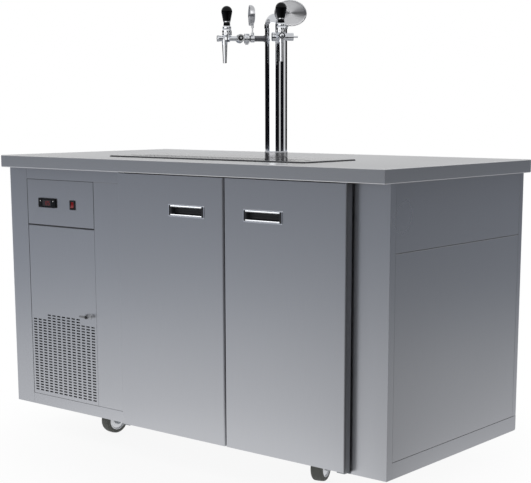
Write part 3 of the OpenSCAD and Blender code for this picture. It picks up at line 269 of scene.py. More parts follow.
def millAluminium(look=finStock):
    material, tree, shader, place = newMaterial("mill_aluminium", {
        "Metallic": 1.0, "Roughness": look["rough"]})
    drift = addNode(tree, "ShaderNodeTexNoise", {
        "Vector": place, "Scale": 1 / (look["drift"] * mm), "Detail": 4.0}).outputs[0]
    unevenFinish(tree, shader, look, drift, relief=drift)
    return material


# Rocker: red polycarbonate lens between black ends, glossy and dark while it isn't lit. The lens
# reaches so many mm above and below the middle.
rockerMoulding = {
    "light": "#96080F", "dark": "#7A060C", "ends": "#0D0D0F", "lensReach": 8.0, "edge": 0.6,
    "rough": 0.2, "drift": 6, "ior": 1.58,
}


def rockerPlastic(look=rockerMoulding):
    material, tree, shader, place = newMaterial("red_polycarbonate_rocker", {
        "Roughness": look["rough"], "IOR": look["ior"]})
    drift = addNode(tree, "ShaderNodeTexNoise", {
        "Vector": place, "Scale": 1 / (look["drift"] * mm), "Detail": 3.0}).outputs[0]
    lens = unevenFinish(tree, shader, look, drift)
    height = addNode(tree, "ShaderNodeSeparateXYZ", {0: place}).outputs["Z"]
    middle = frontOf("power_rocker").z
    away = addNode(tree, "ShaderNodeMath", {0: height, 1: middle}, operation="SUBTRACT").outputs[0]
    away = addNode(tree, "ShaderNodeMath", {0: away}, operation="ABSOLUTE").outputs[0]
    outside = addNode(tree, "ShaderNodeMapRange", {
        "Value": away, "From Min": look["lensReach"] * mm,
        "From Max": (look["lensReach"] + look["edge"]) * mm}).outputs[0]
    tone = addNode(tree, "ShaderNodeMix", {
        0: outside, 6: lens, 7: hexToLinear(look["ends"])}, data_type="RGBA").outputs[2]
    tree.links.new(tone, shader.inputs["Base Color"])
    return material


# Lock of the grille panel: zinc die casting, nickel plated, with its lever sprayed dark grey. The
# lever is the front 5.5 mm of the casting.
lockFinish = {
    "light": "#DCDDDE", "dark": "#CFD0D2", "lever": "#85868A", "leverDeep": 5.5, "edge": 0.3,
    "rough": 0.42, "drift": 7,
}


def twoToneCasting(look=lockFinish):
    material, tree, shader, place = newMaterial("nickel_casting_with_grey_lever", {
        "Roughness": look["rough"]})
    drift = addNode(tree, "ShaderNodeTexNoise", {
        "Vector": place, "Scale": 1 / (look["drift"] * mm), "Detail": 3.0}).outputs[0]
    plate = unevenFinish(tree, shader, look, drift)
    depth = addNode(tree, "ShaderNodeSeparateXYZ", {0: place}).outputs["Y"]
    leverBack = frontOf("panel_lock").y + look["leverDeep"] * mm
    bare = addNode(tree, "ShaderNodeMapRange", {
        "Value": depth, "From Min": leverBack, "From Max": leverBack + look["edge"] * mm}).outputs[0]
    tone = addNode(tree, "ShaderNodeMix", {
        0: bare, 6: hexToLinear(look["lever"]), 7: plate}, data_type="RGBA").outputs[2]
    tree.links.new(tone, shader.inputs["Base Color"])
    tree.links.new(bare, shader.inputs["Metallic"])
    return material


# Segments of the display behind smoked plastic: a dim red glow that is uneven over each bar
segmentGlow = {"light": "#8E1216", "dark": "#6A090D", "spot": 3, "strength": 0.25, "rough": 0.35}


def litSegments(look=segmentGlow):
    material, tree, shader, place = newMaterial("lit_red_segments", {
        "Emission Strength": look["strength"], "Roughness": look["rough"]})
    spot = addNode(tree, "ShaderNodeTexNoise", {"Vector": place, "Scale": 1 / (look["spot"] * mm)}).outputs[0]
    tree.links.new(unevenFinish(tree, shader, look, spot), shader.inputs["Emission Color"])
    return material


# Window of the display: polycarbonate smoked nearly black, with a faint red cast from inside
smokedPane = {"light": "#1A0507", "dark": "#0E0304", "rough": 0.06, "drift": 12, "ior": 1.58}


def smokedPolycarbonate(look=smokedPane):
    material, tree, shader, place = newMaterial("smoked_polycarbonate", {
        "Roughness": look["rough"], "IOR": look["ior"]})
    drift = addNode(tree, "ShaderNodeTexNoise", {"Vector": place, "Scale": 1 / (look["drift"] * mm)})
    unevenFinish(tree, shader, look, drift.outputs[0])
    return material


# Chipboard under the steel: pressed flakes of 3 mm, lying flat, in brown resin
boardFlakes = {"light": "#C4A172", "dark": "#8C6A43", "flake": 3, "rough": 0.8, "depth": 0.3}


def chipboard(look=boardFlakes):
    material, tree, shader, place = newMaterial("chipboard", {"Roughness": look["rough"]})
    lying = [1 / (mm * look["flake"] * stretch) for stretch in (2, 2, 0.6)]
    pressed = addNode(tree, "ShaderNodeMapping", {"Vector": place, "Scale": lying}).outputs[0]
    flakes = addNode(tree, "ShaderNodeTexNoise", {"Vector": pressed, "Scale": 1.0, "Detail": 4.0}).outputs[0]
    share = addNode(tree, "ShaderNodeMapRange", {"Value": flakes, "From Min": 0.3, "From Max": 0.7})
    unevenFinish(tree, shader, look, share.outputs[0], relief=flakes)
    return material


# Beverage hose: clear PVC, seen through and slightly blue, with a soft uneven wall
hosePvc = {
    "light": "#DCE6E8", "dark": "#CBD8DC", "rough": 0.12, "ior": 1.53, "clear": 0.7, "wall": 6, "depth": 0.05,
}


def clearHose(look=hosePvc):
    material, tree, shader, place = newMaterial("clear_pvc_hose", {
        "Roughness": look["rough"], "IOR": look["ior"], "Transmission Weight": look["clear"]})
    wall = addNode(tree, "ShaderNodeTexNoise", {"Vector": place, "Scale": 1 / (look["wall"] * mm)}).outputs[0]
    unevenFinish(tree, shader, look, wall, relief=wall)
    return material


uprightSteel = satinSteelSheet("satin_stainless_upright", "Z")
# The worktop's steel, painted lighter for the light it catches
lengthwaySteel = satinSteelSheet("satin_stainless_lengthwise", "X", worktopSteelPaintedLighter)
traySteel = polishedSteel()
chrome = plated("bright_chrome_plate")
satinNickel = plated("satin_nickel_plate")
blackNickel = plated("black_nickel_plate")
brightZinc = plated("bright_zinc_plate")
spun = spunAluminium()
zinc = galvanisedSteel()
coreBoard = chipboard()
hose = clearHose()
fins = millAluminium()
glow = litSegments()
pane = smokedPolycarbonate()
plastic = {name: coated(name) for name in coats}
rocker = rockerPlastic()
lockCasting = twoToneCasting()
print("materials made")


# Finish of each node that keeps its own mesh
finishes = [
    (uprightSteel, ["front_frame", "filler_panel", "left_side_panel", "right_side_panel", "right_upper_panel",
                    "control_panel", "grille_panel", "left_door", "right_door", "base_frame", "back_panel"]),
    (lengthwaySteel, ["worktop"]),
    (traySteel, ["drip_tray", "drip_grate"]),
    (chrome, ["tower_column", "tower_cap", "coupling_nuts", "badge_clamps", "tap_bodies",
              "tap_spouts", "tap_bonnets", "left_compensator", "right_compensator"]),
    (blackNickel, ["tap_shanks"]),
    (satinNickel, ["tower_base"]),
    (lockCasting, ["panel_lock"]),
    (zinc, ["hinge_brackets", "castor_plates", "fasteners", "fan_shroud"] + [c + "_fork" for c in castors]),
    (coreBoard, ["worktop_core"]),
    (plastic["white_enamelled_liner"], ["cold_room_shell", "evaporator_housing"]),
    (plastic["glossy_black_abs"], ["thermostat", *keys]),
    (plastic["moulded_black_abs_and_painted_dark"], ["switch_bezel", "condenser_fan", "evaporator_fan"]),
    (rocker, ["power_rocker"]),
    (plastic["grey_vinyl_gasket_and_painted_shade"], ["left_gasket", "right_gasket"]),
    (plastic["black_compressor_enamel"], ["compressor"]),
    (fins, ["condenser"]),
    (hose, ["beverage_lines"]),
]
for finish, names in finishes:
    for name in names:
        nodes[name].data.materials.clear()
        nodes[name].data.materials.append(finish)

# Radius in mm of folded and moulded edges, which catch a thin line of light
folds = {
    "front_frame": 1.0, "filler_panel": 0.6, "left_side_panel": 0.8, "right_side_panel": 0.8,
    "right_upper_panel": 0.8, "control_panel": 0.8, "grille_panel": 0.5, "left_door": 0.5, "right_door": 0.5,
    "base_frame": 0.8, "back_panel": 0.8, "drip_tray": 1.0, "power_rocker": 0.5, **{key: 0.5 for key in keys},
}
foldLook = {"weld": 0.01, "steps": 2, "sharpFrom": 50}
for name, radius in folds.items():
    weld = nodes[name].modifiers.new("weld", "WELD")
    weld.merge_threshold = foldLook["weld"] * mm
    bevel = nodes[name].modifiers.new("fold", "BEVEL")
    bevel.width = radius * mm
    bevel.segments = foldLook["steps"]
    bevel.limit_method = "ANGLE"
    bevel.angle_limit = math.radians(foldLook["sharpFrom"])
    normals = nodes[name].modifiers.new("normals", "WEIGHTED_NORMAL")
    normals.keep_sharp = False
print("node finishes set")


# Mesh making. Sizes are in mm, in the frame of the piece.

sharpFrom = 35  # degrees between two faces from which their edge stays sharp


def circle(radius, count):
    angles = [2 * math.pi * k / count for k in range(count)]
    return [(radius * math.cos(a), radius * math.sin(a)) for a in angles]


def arc(centreX, centreY, radius, start, end, steps=8):
    angles = [math.radians(start + (end - start) * k / steps) for k in range(steps + 1)]
    points = [(centreX + radius * math.cos(a), centreY + radius * math.sin(a)) for a in angles]
    # A point that should lie on the axis is put there exactly
    return [(0 if abs(x) < 1e-6 else x, y) for x, y in points]


def stepped(radius, height, steps):
    # Part of a profile: each step is (out, up) from one point of it
    return [(radius + out, height + rise) for out, rise in steps]


def bored(profile, hole):
    # Closes the profile of a ring with the straight wall of its hole
    return [(hole, profile[0][1])] + profile + [(hole, profile[-1][1])]


def mirrored(profile):
    return [(radius, -height) for radius, height in reversed(profile)]


def finished(name, bm, place, material, body):
    bmesh.ops.recalc_face_normals(bm, faces=bm.faces)
    mesh = bpy.data.meshes.new(name)
    bm.to_mesh(mesh)
    bm.free()
    for face in mesh.polygons:
        face.use_smooth = True
    mesh.set_sharp_from_angle(angle=math.radians(sharpFrom))
    mesh.materials.append(material)
    piece = bpy.data.objects.new(name, mesh)
    scene.collection.objects.link(piece)
    piece.matrix_world = place
    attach(piece, body)
    return piece


def skin(bm, loops, closed=False, capStart=False, capEnd=False):
    # Joins loops of equal length; a loop of one point closes to a tip
    rings = [[bm.verts.new(Vector(point) * mm) for point in loop] for loop in loops]
    pairs = list(zip(rings, rings[1:])) + ([(rings[-1], rings[0])] if closed else [])
    for low, high in pairs:
        count = max(len(low), len(high))
        for k in range(count):
            n = (k + 1) % count
            corners = [low[k % len(low)], low[n % len(low)], high[n % len(high)], high[k % len(high)]]
            corners = list(dict.fromkeys(corners))
            if len(corners) > 2:
                bm.faces.new(corners)
    if capStart:
        bm.faces.new(rings[0])
    if capEnd:
        bm.faces.new(rings[-1])


def turned(name, profile, place, material, body, closed=False, segments=72):
    # A lathe piece: profile holds (radius, height) points, turned about local Z
    loops = []
    for radius, height in profile:
        count = segments if radius > 0 else 1
        loops.append([(x, y, height) for x, y in circle(radius, count)])
    bm = bmesh.new()
    skin(bm, loops, closed)
    return finished(name, bm, place, material, body)


def roundedLoop(width, height, radius, depth, steps=6):
    points = []
    for sx, sy, start in ((1, 1, 0), (-1, 1, 90), (-1, -1, 180), (1, -1, 270)):
        points += arc(sx * (width / 2 - radius), sy * (height / 2 - radius), radius, start, start + 90, steps)
    return [(x, y, depth) for x, y in points]


def steppedLoops(width, height, steps):
    # Rounded loops round one outline: each step is (out, radius of the corners, up)
    return [roundedLoop(width + 2 * out, height + 2 * out, radius, rise) for out, radius, rise in steps]


def ovalLoop(width, height, depth, segments=96):
    return [(width / 2 * x, height / 2 * y, depth) for x, y in circle(1, segments)]


def standing(origin, outward, up=(0, 0, 1)):
    # Placement at origin with local Z along outward and local Y as near up as it can be
    zAxis = Vector(outward).normalized()
    xAxis = Vector(up).cross(zAxis).normalized()
    yAxis = zAxis.cross(xAxis)
    turn = Matrix((xAxis, yAxis, zAxis)).transposed().to_4x4()
    return Matrix.Translation(Vector(origin)) @ turn


def fromLine(node, origin, outward):
    # How far each point of a node stands out along a line, and how far it lies off the line
    offsets = [v.co - origin for v in nodes[node].data.vertices]
    return [(o.dot(outward), (o - outward * o.dot(outward)).length) for o in offsets]


# Castor wheels: a rubber tyre with rounded shoulders on a zinc-plated hub, whose domed cover sits in
# a raised ring. Steps are (out, up) from where the hub's rim meets the plane of the wheel's side,
# tread is the share of the flat part at full radius, and the shoulder turns from and to in degrees.

wheelLook = {
    "shoulder": 6, "shoulderTurn": (4, 82), "crown": 0.6, "tread": 0.5, "rim": 28.5,
    "grooveSteps": ((3.4, -0.2), (2.8, -0.8), (2.2, -0.3), (0.3, -0.6), (0, -1.4)),
    "ringSteps": ((-0.1, -1.7), (-0.3, -0.7), (-1, -0.15), (-1.8, -0.1), (-2.7, -1.6), (-3.2, -3.6)),
    "coverTop": 0.6,
}


def castorWheel(corner, look=wheelLook):
    joint = joints[corner + "_roll"]
    centre, axis = Vector(joint["pos_m"]), Vector(joint["axis"]).normalized()
    body = corner + "_wheel"
    measured = fromLine(body, centre, axis)
    half = max(abs(along) for along, away in measured) / mm
    radius = max(away for along, away in measured) / mm
    place = standing(centre, axis)
    shoulder, rim = look["shoulder"], look["rim"]
    flat = half - shoulder
    rounded = arc(radius - shoulder - look["crown"], flat, shoulder, *look["shoulderTurn"], 7)
    side = [(radius, flat * look["tread"])] + rounded + stepped(rim, half, look["grooveSteps"])
    tyre = turned(corner + "_tyre", mirrored(side) + side, place, plastic["grey_tyre_rubber"], body,
                  closed=True)
    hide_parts(body)
    ring = stepped(rim, half, look["ringSteps"])
    inner, low = ring[-1]
    dome = half - look["coverTop"] - low
    face = ring + [(inner * x, low + dome * y) for x, y in arc(0, 0, 1, 0, 90)[1:]]
    turned(corner + "_hub", mirrored(face) + face, place, brightZinc, body)


for corner in castors:
    castorWheel(corner)
print("castor wheels made")


# Tap levers: chrome ball, stem and dished cup over the bonnet, black collar, thin chrome ring, black
# grip. Heights are from the ball's middle. Steps are (out, up): the lip's from the end of the cup's
# hollow, the cup's from its own top, and the others from the top of the piece below.

leverLook = {
    "ball": 7, "stem": 3, "dome": 12.8, "cup": 11.2, "cupTop": 14.5, "collar": 9, "gripBase": 10.25,
    "gripWide": 14.7, "gripTop": 66.5, "taper": 11, "overlap": 0.2,
    "lipSteps": ((0.25, 0.6),),
    "cupSteps": ((0.3, -4), (0, -2.2), (-0.8, -0.9), (-2, -0.1), (-2.4, 0)),
    "collarSteps": ((-0.4, 0), (0, 0.6), (0.05, 2.5), (-0.3, 6), (-0.4, 8.4), (-0.8, 9)),
    "ringSteps": ((0, 0), (0.6, 0.5), (0.7, 2.2), (0.2, 2.8)),
    "gripSteps": ((-1, 0), (-0.3, 0.3), (0, 1)),
}


def tapLever(side, look=leverLook):
    place = Matrix.Translation(Vector(joints[side + "_lever_pull"]["pos_m"]))
    body = side + "_lever"
    black = plastic["polished_black_phenolic"]
    stem, wide, cupTop = look["stem"], look["cup"], look["cupTop"]
    # The cup's hollow follows the bonnet's round top, and its skirt ends where the two part
    reach, inside = [math.degrees(math.acos(radius / look["dome"])) for radius in (wide, stem)]
    hollow = arc(0, 0, look["dome"], inside, reach, 10)
    skirt = stepped(wide, hollow[-1][1], look["lipSteps"]) + stepped(wide, cupTop, look["cupSteps"])
    turned(body + "_cup", hollow + skirt + [(stem, cupTop)], place, chrome, body, closed=True)
    collar = stepped(look["collar"], cupTop, look["collarSteps"])
    top = collar[-1][1]
    turned(body + "_collar", bored(collar, stem), place, black, body, closed=True)
    ring = stepped(look["collar"], top, look["ringSteps"])
    low = ring[-1][1]
    turned(body + "_ring", bored(ring, stem), place, chrome, body, closed=True)
    foot = stepped(look["gripBase"], low, look["gripSteps"])
    head = arc(0, look["gripTop"] - look["gripWide"], look["gripWide"], -look["taper"], 90, 18)
    grip = turned(body + "_grip", [(0, low)] + foot + head, place, black, body)
    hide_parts(body)
    neck = math.degrees(math.acos(stem / look["ball"]))
    ball = arc(0, 0, look["ball"], -90, neck, 16)
    end = top + look["overlap"]
    turned(body + "_stem", ball + [(stem, end), (0, end)], place, chrome, body, segments=40)


for side in sides:
    tapLever(side)
print("tap levers made")


# Trim of the taps: a black disc in the dished end of each compensator, painted shade for the dish's
# hollow, and a black ring round a domed chrome button on the closed end of the barrel and on the nose,
# a painted dark reflection round the button's edge

trimLook = {
    "dish": 7.0, "dishDeep": 3, "rimFrom": 8.4,
    "hole": 2.7, "shadeDiscSteps": ((0, 0.02), (0, 0.4), (-0.3, 0.6)),
    "ringWide": 1.2, "ringHigh": 0.9, "buttonHigh": 1.7, "seat": 0.2,
    "barrel": 9.4, "barrelReach": 14, "nose": 6.9, "noseReach": 9.5,
}


def tapFacing(side):
    # The way a tap points: level, and square to the axis of its lever
    axis = joints[side + "_lever_pull"]["axis"]
    facing = Vector((axis[1], -axis[0], 0)).normalized()
    return -facing if facing.y > 0 else facing


def aheadOf(node, origin, outward, reach=math.inf):
    # How far the points of a node within reach of a line stand out along it
    return max(along for along, away in fromLine(node, origin, outward) if away < reach)


def buttonInPaintedDarkRing(name, ring, end, look=trimLook):
    wide, high, seat = look["ringWide"], look["ringHigh"], look["seat"]
    around = [(ring + wide * x, seat + high * y) for x, y in circle(1, 12)]
    # The black ring is a painted dark reflection round the chrome button
    turned(name + "_ring", around, end, plastic["moulded_black_abs_and_painted_dark"], "cabinet", closed=True,
           segments=48)
    edge = ring - wide
    dome = [(edge * x, look["buttonHigh"] * y) for x, y in arc(0, 0, 1, 0, 90, 6)]
    turned(name + "_button", [(0, -seat), (edge, -seat)] + dome, end, chrome, "cabinet",
           segments=48)


def tapTrim(side, look=trimLook):
    joint = joints[side + "_compensator_turn"]
    centre, outward = Vector(joint["pos_m"]), Vector(joint["axis"]).normalized()
    knob = side + "_compensator"
    # The knob's dished end is the one that stands out more, whichever way its axis runs
    if aheadOf(knob, centre, outward) < aheadOf(knob, centre, -outward):
        outward = -outward
    rim = max(along for along, away in fromLine(knob, centre, outward) if away > look["rimFrom"] * mm)
    dish = standing(centre + outward * (rim - look["dishDeep"] * mm), outward)
    # A black disc in the dish: painted shade for its hollow
    shadeDisc = bored(stepped(look["dish"], 0, look["shadeDiscSteps"]), look["hole"])
    turned(knob + "_lining", shadeDisc, dish, plastic["moulded_black_abs_and_painted_dark"], knob, closed=True,
           segments=40)
    barrel = centre - outward * aheadOf("tap_bodies", centre, -outward, look["barrelReach"] * mm)
    buttonInPaintedDarkRing(side + "_barrel", look["barrel"], standing(barrel, -outward))
    facing = tapFacing(side)
    nose = Vector(joints[side + "_lever_pull"]["pos_m"])
    nose.z = centre.z
    nose += facing * aheadOf("tap_bodies", nose, facing, look["noseReach"] * mm)
    buttonInPaintedDarkRing(side + "_nose", look["nose"], standing(nose, facing))


for side in sides:
    tapTrim(side)
print("tap trim made")


# Badges: oval dishes of spun aluminium with a raised rim and a rounded back, bare of any print.
# Dish rings are shares of the way out to the rim, rim steps (in from the edge, up from the rim) and
# knob steps (width, up from the back). Lean is in degrees.

badgeLook = {
    "width": 86, "height": {"left": 54, "right": 68}, "lean": {"left": 0, "right": 4},
    "rim": 4, "rimHigh": 0.8, "dish": 0.7, "dishRings": (0.15, 0.3, 0.45, 0.6, 0.75, 0.9, 1),
    "rimSteps": ((3.5, -0.2), (2.9, 0), (1, 0), (0.3, -0.3), (0, -0.9), (0, -2.4)),
    "deep": 13.5, "tuckWide": 12, "tuckHigh": 9, "knobSteps": ((8, 0), (8, -1.4), (6.5, -2)),
}


def badge(side, look=badgeLook):
    # Each badge faces the way its tap points
    outward, upward = tapFacing(side), Vector((0, 0, 1))
    sideways = upward.cross(outward)
    low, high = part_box("badge_plates")
    ownSide = -1 if side == "left" else 1
    between = (low.x + high.x) / 2
    own = [v.co for v in nodes["badge_plates"].data.vertices if (v.co.x - between) * ownSide > 0]
    across, climb, depth = [[v.dot(way) for v in own] for way in (sideways, upward, outward)]
    middle = sideways * (min(across) + max(across)) / 2 + upward * (min(climb) + max(climb)) / 2
    lean = Matrix.Rotation(-math.radians(look["lean"][side]), 4, "Z")
    place = standing(middle + outward * max(depth), outward) @ lean
    width, height, rim = look["width"], look["height"][side], look["rim"]
    floor = -look["rimHigh"] - look["dish"]
    loops = [[(0, 0, floor)]]
    for share in look["dishRings"]:
        loops.append(ovalLoop(share * (width - 2 * rim), share * (height - 2 * rim),
                              floor + look["dish"] * share * share))
    for inset, rise in look["rimSteps"]:
        loops.append(ovalLoop(width - 2 * inset, height - 2 * inset, rise))
    edge = look["rimSteps"][-1][1]
    for x, y in arc(0, 0, 1, 0, 90)[1:]:
        loops.append(ovalLoop(width - 2 * look["tuckWide"] * (1 - x), height - 2 * look["tuckHigh"] * (1 - x),
                              edge - (look["deep"] + edge) * y))
    loops += [ovalLoop(knob, knob, rise - look["deep"]) for knob, rise in look["knobSteps"]]
    loops.append([(0, 0, look["knobSteps"][-1][1] - look["deep"])])
    bm = bmesh.new()
    skin(bm, loops)
    return finished(side + "_badge", bm, place, spun, "cabinet")


leftBadge = badge("left")
badge("right")
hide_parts("badge_plates")
print("badges made")


# Door pulls: thin frame with two bright rounded lips, round a black cup. Steps are (out, radius of
# the corners, up), the bezel's from the outline of the pull and the cup's from the cup's mouth.

pullLook = {
    "bezelSteps": ((0, 3, 0), (0, 3, 0.9), (-0.5, 2.5, 1.4), (-2.2, 2, 1.4), (-2.6, 1.6, 0.9),
                   (-2.6, 1.6, 0)),
    "brimSteps": ((-2.65, 1.6, 0), (-2.65, 1.6, 0.7)), "mouthWidth": 108, "mouthHeight": 19,
    "insideSteps": ((1, 4, 0.7), (0, 4, -0.4), (-1, 4, -8.1), (-2.5, 4, -12.5), (-4.5, 3, -13.5)),
    "outsideSteps": ((2, 4, -0.2), (1.5, 4, -8.1), (0, 4, -14.1), (-3, 3, -14.7)),
    # Line along the middle of the cup's floor: how far short of the mouth, how wide, its corners
    "floorLine": (40, 0.4, 0.2),
    # Lips: radius, how far in from the outline and from the ends, and (in from the end, share of
    # the radius) towards the rounded ends
    "lip": 2.2, "lipInset": 4.8, "lipEnd": 8, "lipRise": 0.6, "lipTaper": ((0, 0.15), (0.3, 0.7), (1, 1)),
}


def doorPull(side, look=pullLook):
    low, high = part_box(side + "_pull")
    centre = frontOf(side + "_pull")
    centre.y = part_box(side + "_door")[0].y
    width, height = (high.x - low.x) / mm, (high.z - low.z) / mm
    place = standing(centre, towardsFront)
    body = side + "_door"
    bm = bmesh.new()
    skin(bm, steppedLoops(width, height, look["bezelSteps"]), closed=True)
    reach = width / 2 - look["lipEnd"]
    near = [(run - reach, share) for run, share in look["lipTaper"]]
    spans = near + [(-x, share) for x, share in reversed(near)]
    for sign in (1, -1):
        middle = sign * (height / 2 - look["lipInset"])
        bar = [[(x, middle + share * y, look["lipRise"] + share * z) for y, z in circle(look["lip"], 20)]
               for x, share in spans]
        skin(bm, bar, capStart=True, capEnd=True)
    bezel = finished(side + "_pull_bezel", bm, place, chrome, body)
    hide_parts(side + "_pull")
    bm = bmesh.new()
    brim = steppedLoops(width, height, look["brimSteps"])
    mouthWidth, mouthHeight = look["mouthWidth"], look["mouthHeight"]
    short, wide, corner = look["floorLine"]
    line = roundedLoop(mouthWidth - short, wide, corner, look["insideSteps"][-1][2])
    skin(bm, brim + steppedLoops(mouthWidth, mouthHeight, look["insideSteps"]) + [line], capEnd=True)
    skin(bm, brim[:1] + steppedLoops(mouthWidth, mouthHeight, look["outsideSteps"]), capEnd=True)
    bmesh.ops.remove_doubles(bm, verts=bm.verts, dist=0.001 * mm)
    finished(side + "_pull_cup", bm, place, plastic["black_polypropylene"], body)


for side in sides:
    doorPull(side)
print("door pulls made")


# Display of the thermostat: smoked window with three seven-segment digits, and a printed dot on two
# of the keys. Pane steps are (out, radius of the corners, up), and dot steps (out, up).

displayLook = {
    "paneWidth": 37.6, "paneHeight": 16.6, "paneSteps": ((0, 1.2, -1.4), (0, 1.2, 0.2), (-0.25, 1, 0.4)),
    "digits": "12.5", "digitHeight": 11, "digitWidth": 6, "bar": 1.5, "barGap": 0.25, "barTip": 0.1,
    "barThick": 0.06, "pitch": 9.2, "slant": 0.12, "pointWide": 0.7, "pointShift": 0.4,
    "dot": 1.7, "dotSteps": ((0, 0.02), (-0.1, 0.1)), "dotTop": 0.12,
}

# Bars of a digit as (start, end) corners on a grid one wide and two high
bars = {
    "top": ((0, 2), (1, 2)), "middle": ((0, 1), (1, 1)), "bottom": ((0, 0), (1, 0)),
    "upperLeft": ((0, 1), (0, 2)), "upperRight": ((1, 1), (1, 2)),
    "lowerLeft": ((0, 0), (0, 1)), "lowerRight": ((1, 0), (1, 1)),
}
digitBars = {
    "1": ("upperRight", "lowerRight"),
    "2": ("top", "upperRight", "middle", "lowerLeft", "bottom"),
    "5": ("top", "upperLeft", "middle", "lowerRight", "bottom"),
}


def barOutline(start, end, look=displayLook):
    # Six-sided bar with pointed ends, kept clear of the bars it would meet
    along = (end - start).normalized()
    across = Vector((-along.y, along.x)) * look["bar"] / 2
    tip, point = along * look["bar"] / 2, along * look["bar"] / 2 * look["barTip"]
    start, end = start + along * look["barGap"], end - along * look["barGap"]
    return [start - point, start + tip + across, end - tip + across, end + point, end - tip - across,
            start + tip - across]


def digitOutlines(look=displayLook):
    outlines = []
    count = len(look["digits"].replace(".", ""))
    storey = look["digitHeight"] / 2
    cursor, foot = -(count - 1) / 2 * look["pitch"], -storey
    for mark in look["digits"]:
        if mark == ".":
            wide, high = look["pointWide"], look["bar"] / 2
            x = cursor - look["pitch"] / 2 + look["pointShift"]
            diamond = ((x + wide, foot), (x, foot + high), (x - wide, foot), (x, foot - high))
            outlines.append([Vector(point) for point in diamond])
            continue
        left = cursor - look["digitWidth"] / 2
        for name in digitBars[mark]:
            start, end = [
                Vector((left + x * look["digitWidth"] + y * storey * look["slant"], foot + y * storey))
                for x, y in bars[name]]
            outlines.append(barOutline(start, end))
        cursor += look["pitch"]
    return outlines


def display(look=displayLook):
    place = standing(frontOf("thermostat"), towardsFront)
    bm = bmesh.new()
    loops = steppedLoops(look["paneWidth"], look["paneHeight"], look["paneSteps"])
    skin(bm, loops, capStart=True, capEnd=True)
    finished("display_window", bm, place, pane, "cabinet")
    proud = look["paneSteps"][-1][2]
    bm = bmesh.new()
    for outline in digitOutlines():
        skin(bm, [[(p.x, p.y, level) for p in outline] for level in (proud, proud + look["barThick"])],
             capStart=True, capEnd=True)
    finished("display_digits", bm, place, glow, "cabinet")
    for key in ("upper_left_key", "upper_right_key"):
        dot = stepped(look["dot"], 0, look["dotSteps"])
        profile = [(0, dot[0][1])] + dot + [(0, look["dotTop"])]
        turned(key + "_dot", profile, standing(frontOf(key), towardsFront), plastic["white_key_print"], key,
               segments=28)


display()
print("display made")


# Black cap on the round end of the panel lock, with a soft edge

capLook = {"radius": 5, "thick": 2.2, "soft": 0.8, "crown": 0.2}


def lockCap(look=capLook):
    centre = Vector(joints["panel_lock_turn"]["pos_m"])
    centre.y = frontOf("panel_lock").y
    radius, thick, soft = look["radius"], look["thick"], look["soft"]
    edge = [(radius, 0), (radius, thick - soft)] + arc(radius - soft, thick - soft, soft, 15, 90, 4)
    turned("panel_lock_cap", [(0, 0)] + edge + [(0, thick + look["crown"])], standing(centre, towardsFront),
           plastic["moulded_black_abs_and_painted_dark"], "panel_lock", segments=48)


lockCap()
print("lock cap made")


# Dark strips of grey vinyl, painted shade: over the seam round the control panel, broader along its
# lower edge, and round the drip tray where its flange lies on the worktop. Overlap and outside are
# counted from the edge of the node, and on names the node whose face the strip stands on.

paintedShadeStrips = {
    "control_panel": {"on": "control_panel", "outward": towardsFront, "up": (0, 0, 1), "proud": 0.5,
                      "overlap": 0.5, "outside": 0.8, "lowOverlap": 2.4, "lowOutside": 0.9,
                      "corner": 1.0, "soft": 0.2},
    "drip_tray": {"on": "worktop", "outward": (0, 0, 1), "up": (0, 1, 0), "proud": 2.8,
                  "overlap": 0, "outside": 1.6, "lowOverlap": 0, "lowOutside": 1.6,
                  "corner": 8.0, "soft": 0.4},
}


def paintedShadeStrip(node):
    look = paintedShadeStrips[node]
    outward, up = Vector(look["outward"]), Vector(look["up"])
    low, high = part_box(node)
    middle, size = (low + high) / 2, (high - low) / mm
    level = max(corner.dot(outward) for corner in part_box(look["on"]))
    centre = middle + outward * (level - middle.dot(outward))

    def loop(side, below, depth):
        points = roundedLoop(size.x + 2 * side, size.dot(up) + side + below, look["corner"], depth)
        return [(x, y + (side - below) / 2, z) for x, y, z in points]

    out, lowOut, soft, proud = look["outside"], look["lowOutside"], look["soft"], look["proud"]
    inside, lowInside = -look["overlap"], -look["lowOverlap"]
    bm = bmesh.new()
    skin(bm, [loop(out, lowOut, 0), loop(out, lowOut, proud - soft), loop(out - soft, lowOut - soft, proud),
              loop(inside + soft, lowInside + soft, proud), loop(inside, lowInside, proud - soft),
              loop(inside, lowInside, 0)], closed=True)
    # The strip is painted shade, made in the gasket's grey vinyl
    finished(node + "_seal", bm, standing(centre, outward, up), plastic["grey_vinyl_gasket_and_painted_shade"], "cabinet")


for node in paintedShadeStrips:
    paintedShadeStrip(node)
print("seals made")


# Studio: pale floor, white backdrop, and the boards that steel and chrome mirror

# The world in three parts: white to the camera, an even fill for dull finishes, and in mirrors
# a light ceiling over a dark horizon. The ceiling begins and is full at so many degrees of climb.
worldLook = {
    "fill": "#CDCDCE", "ceiling": "#C9CACC", "gap": "#0D0D10", "strength": 1.22,
    "ceilingFrom": 5, "ceilingFull": 15,
}


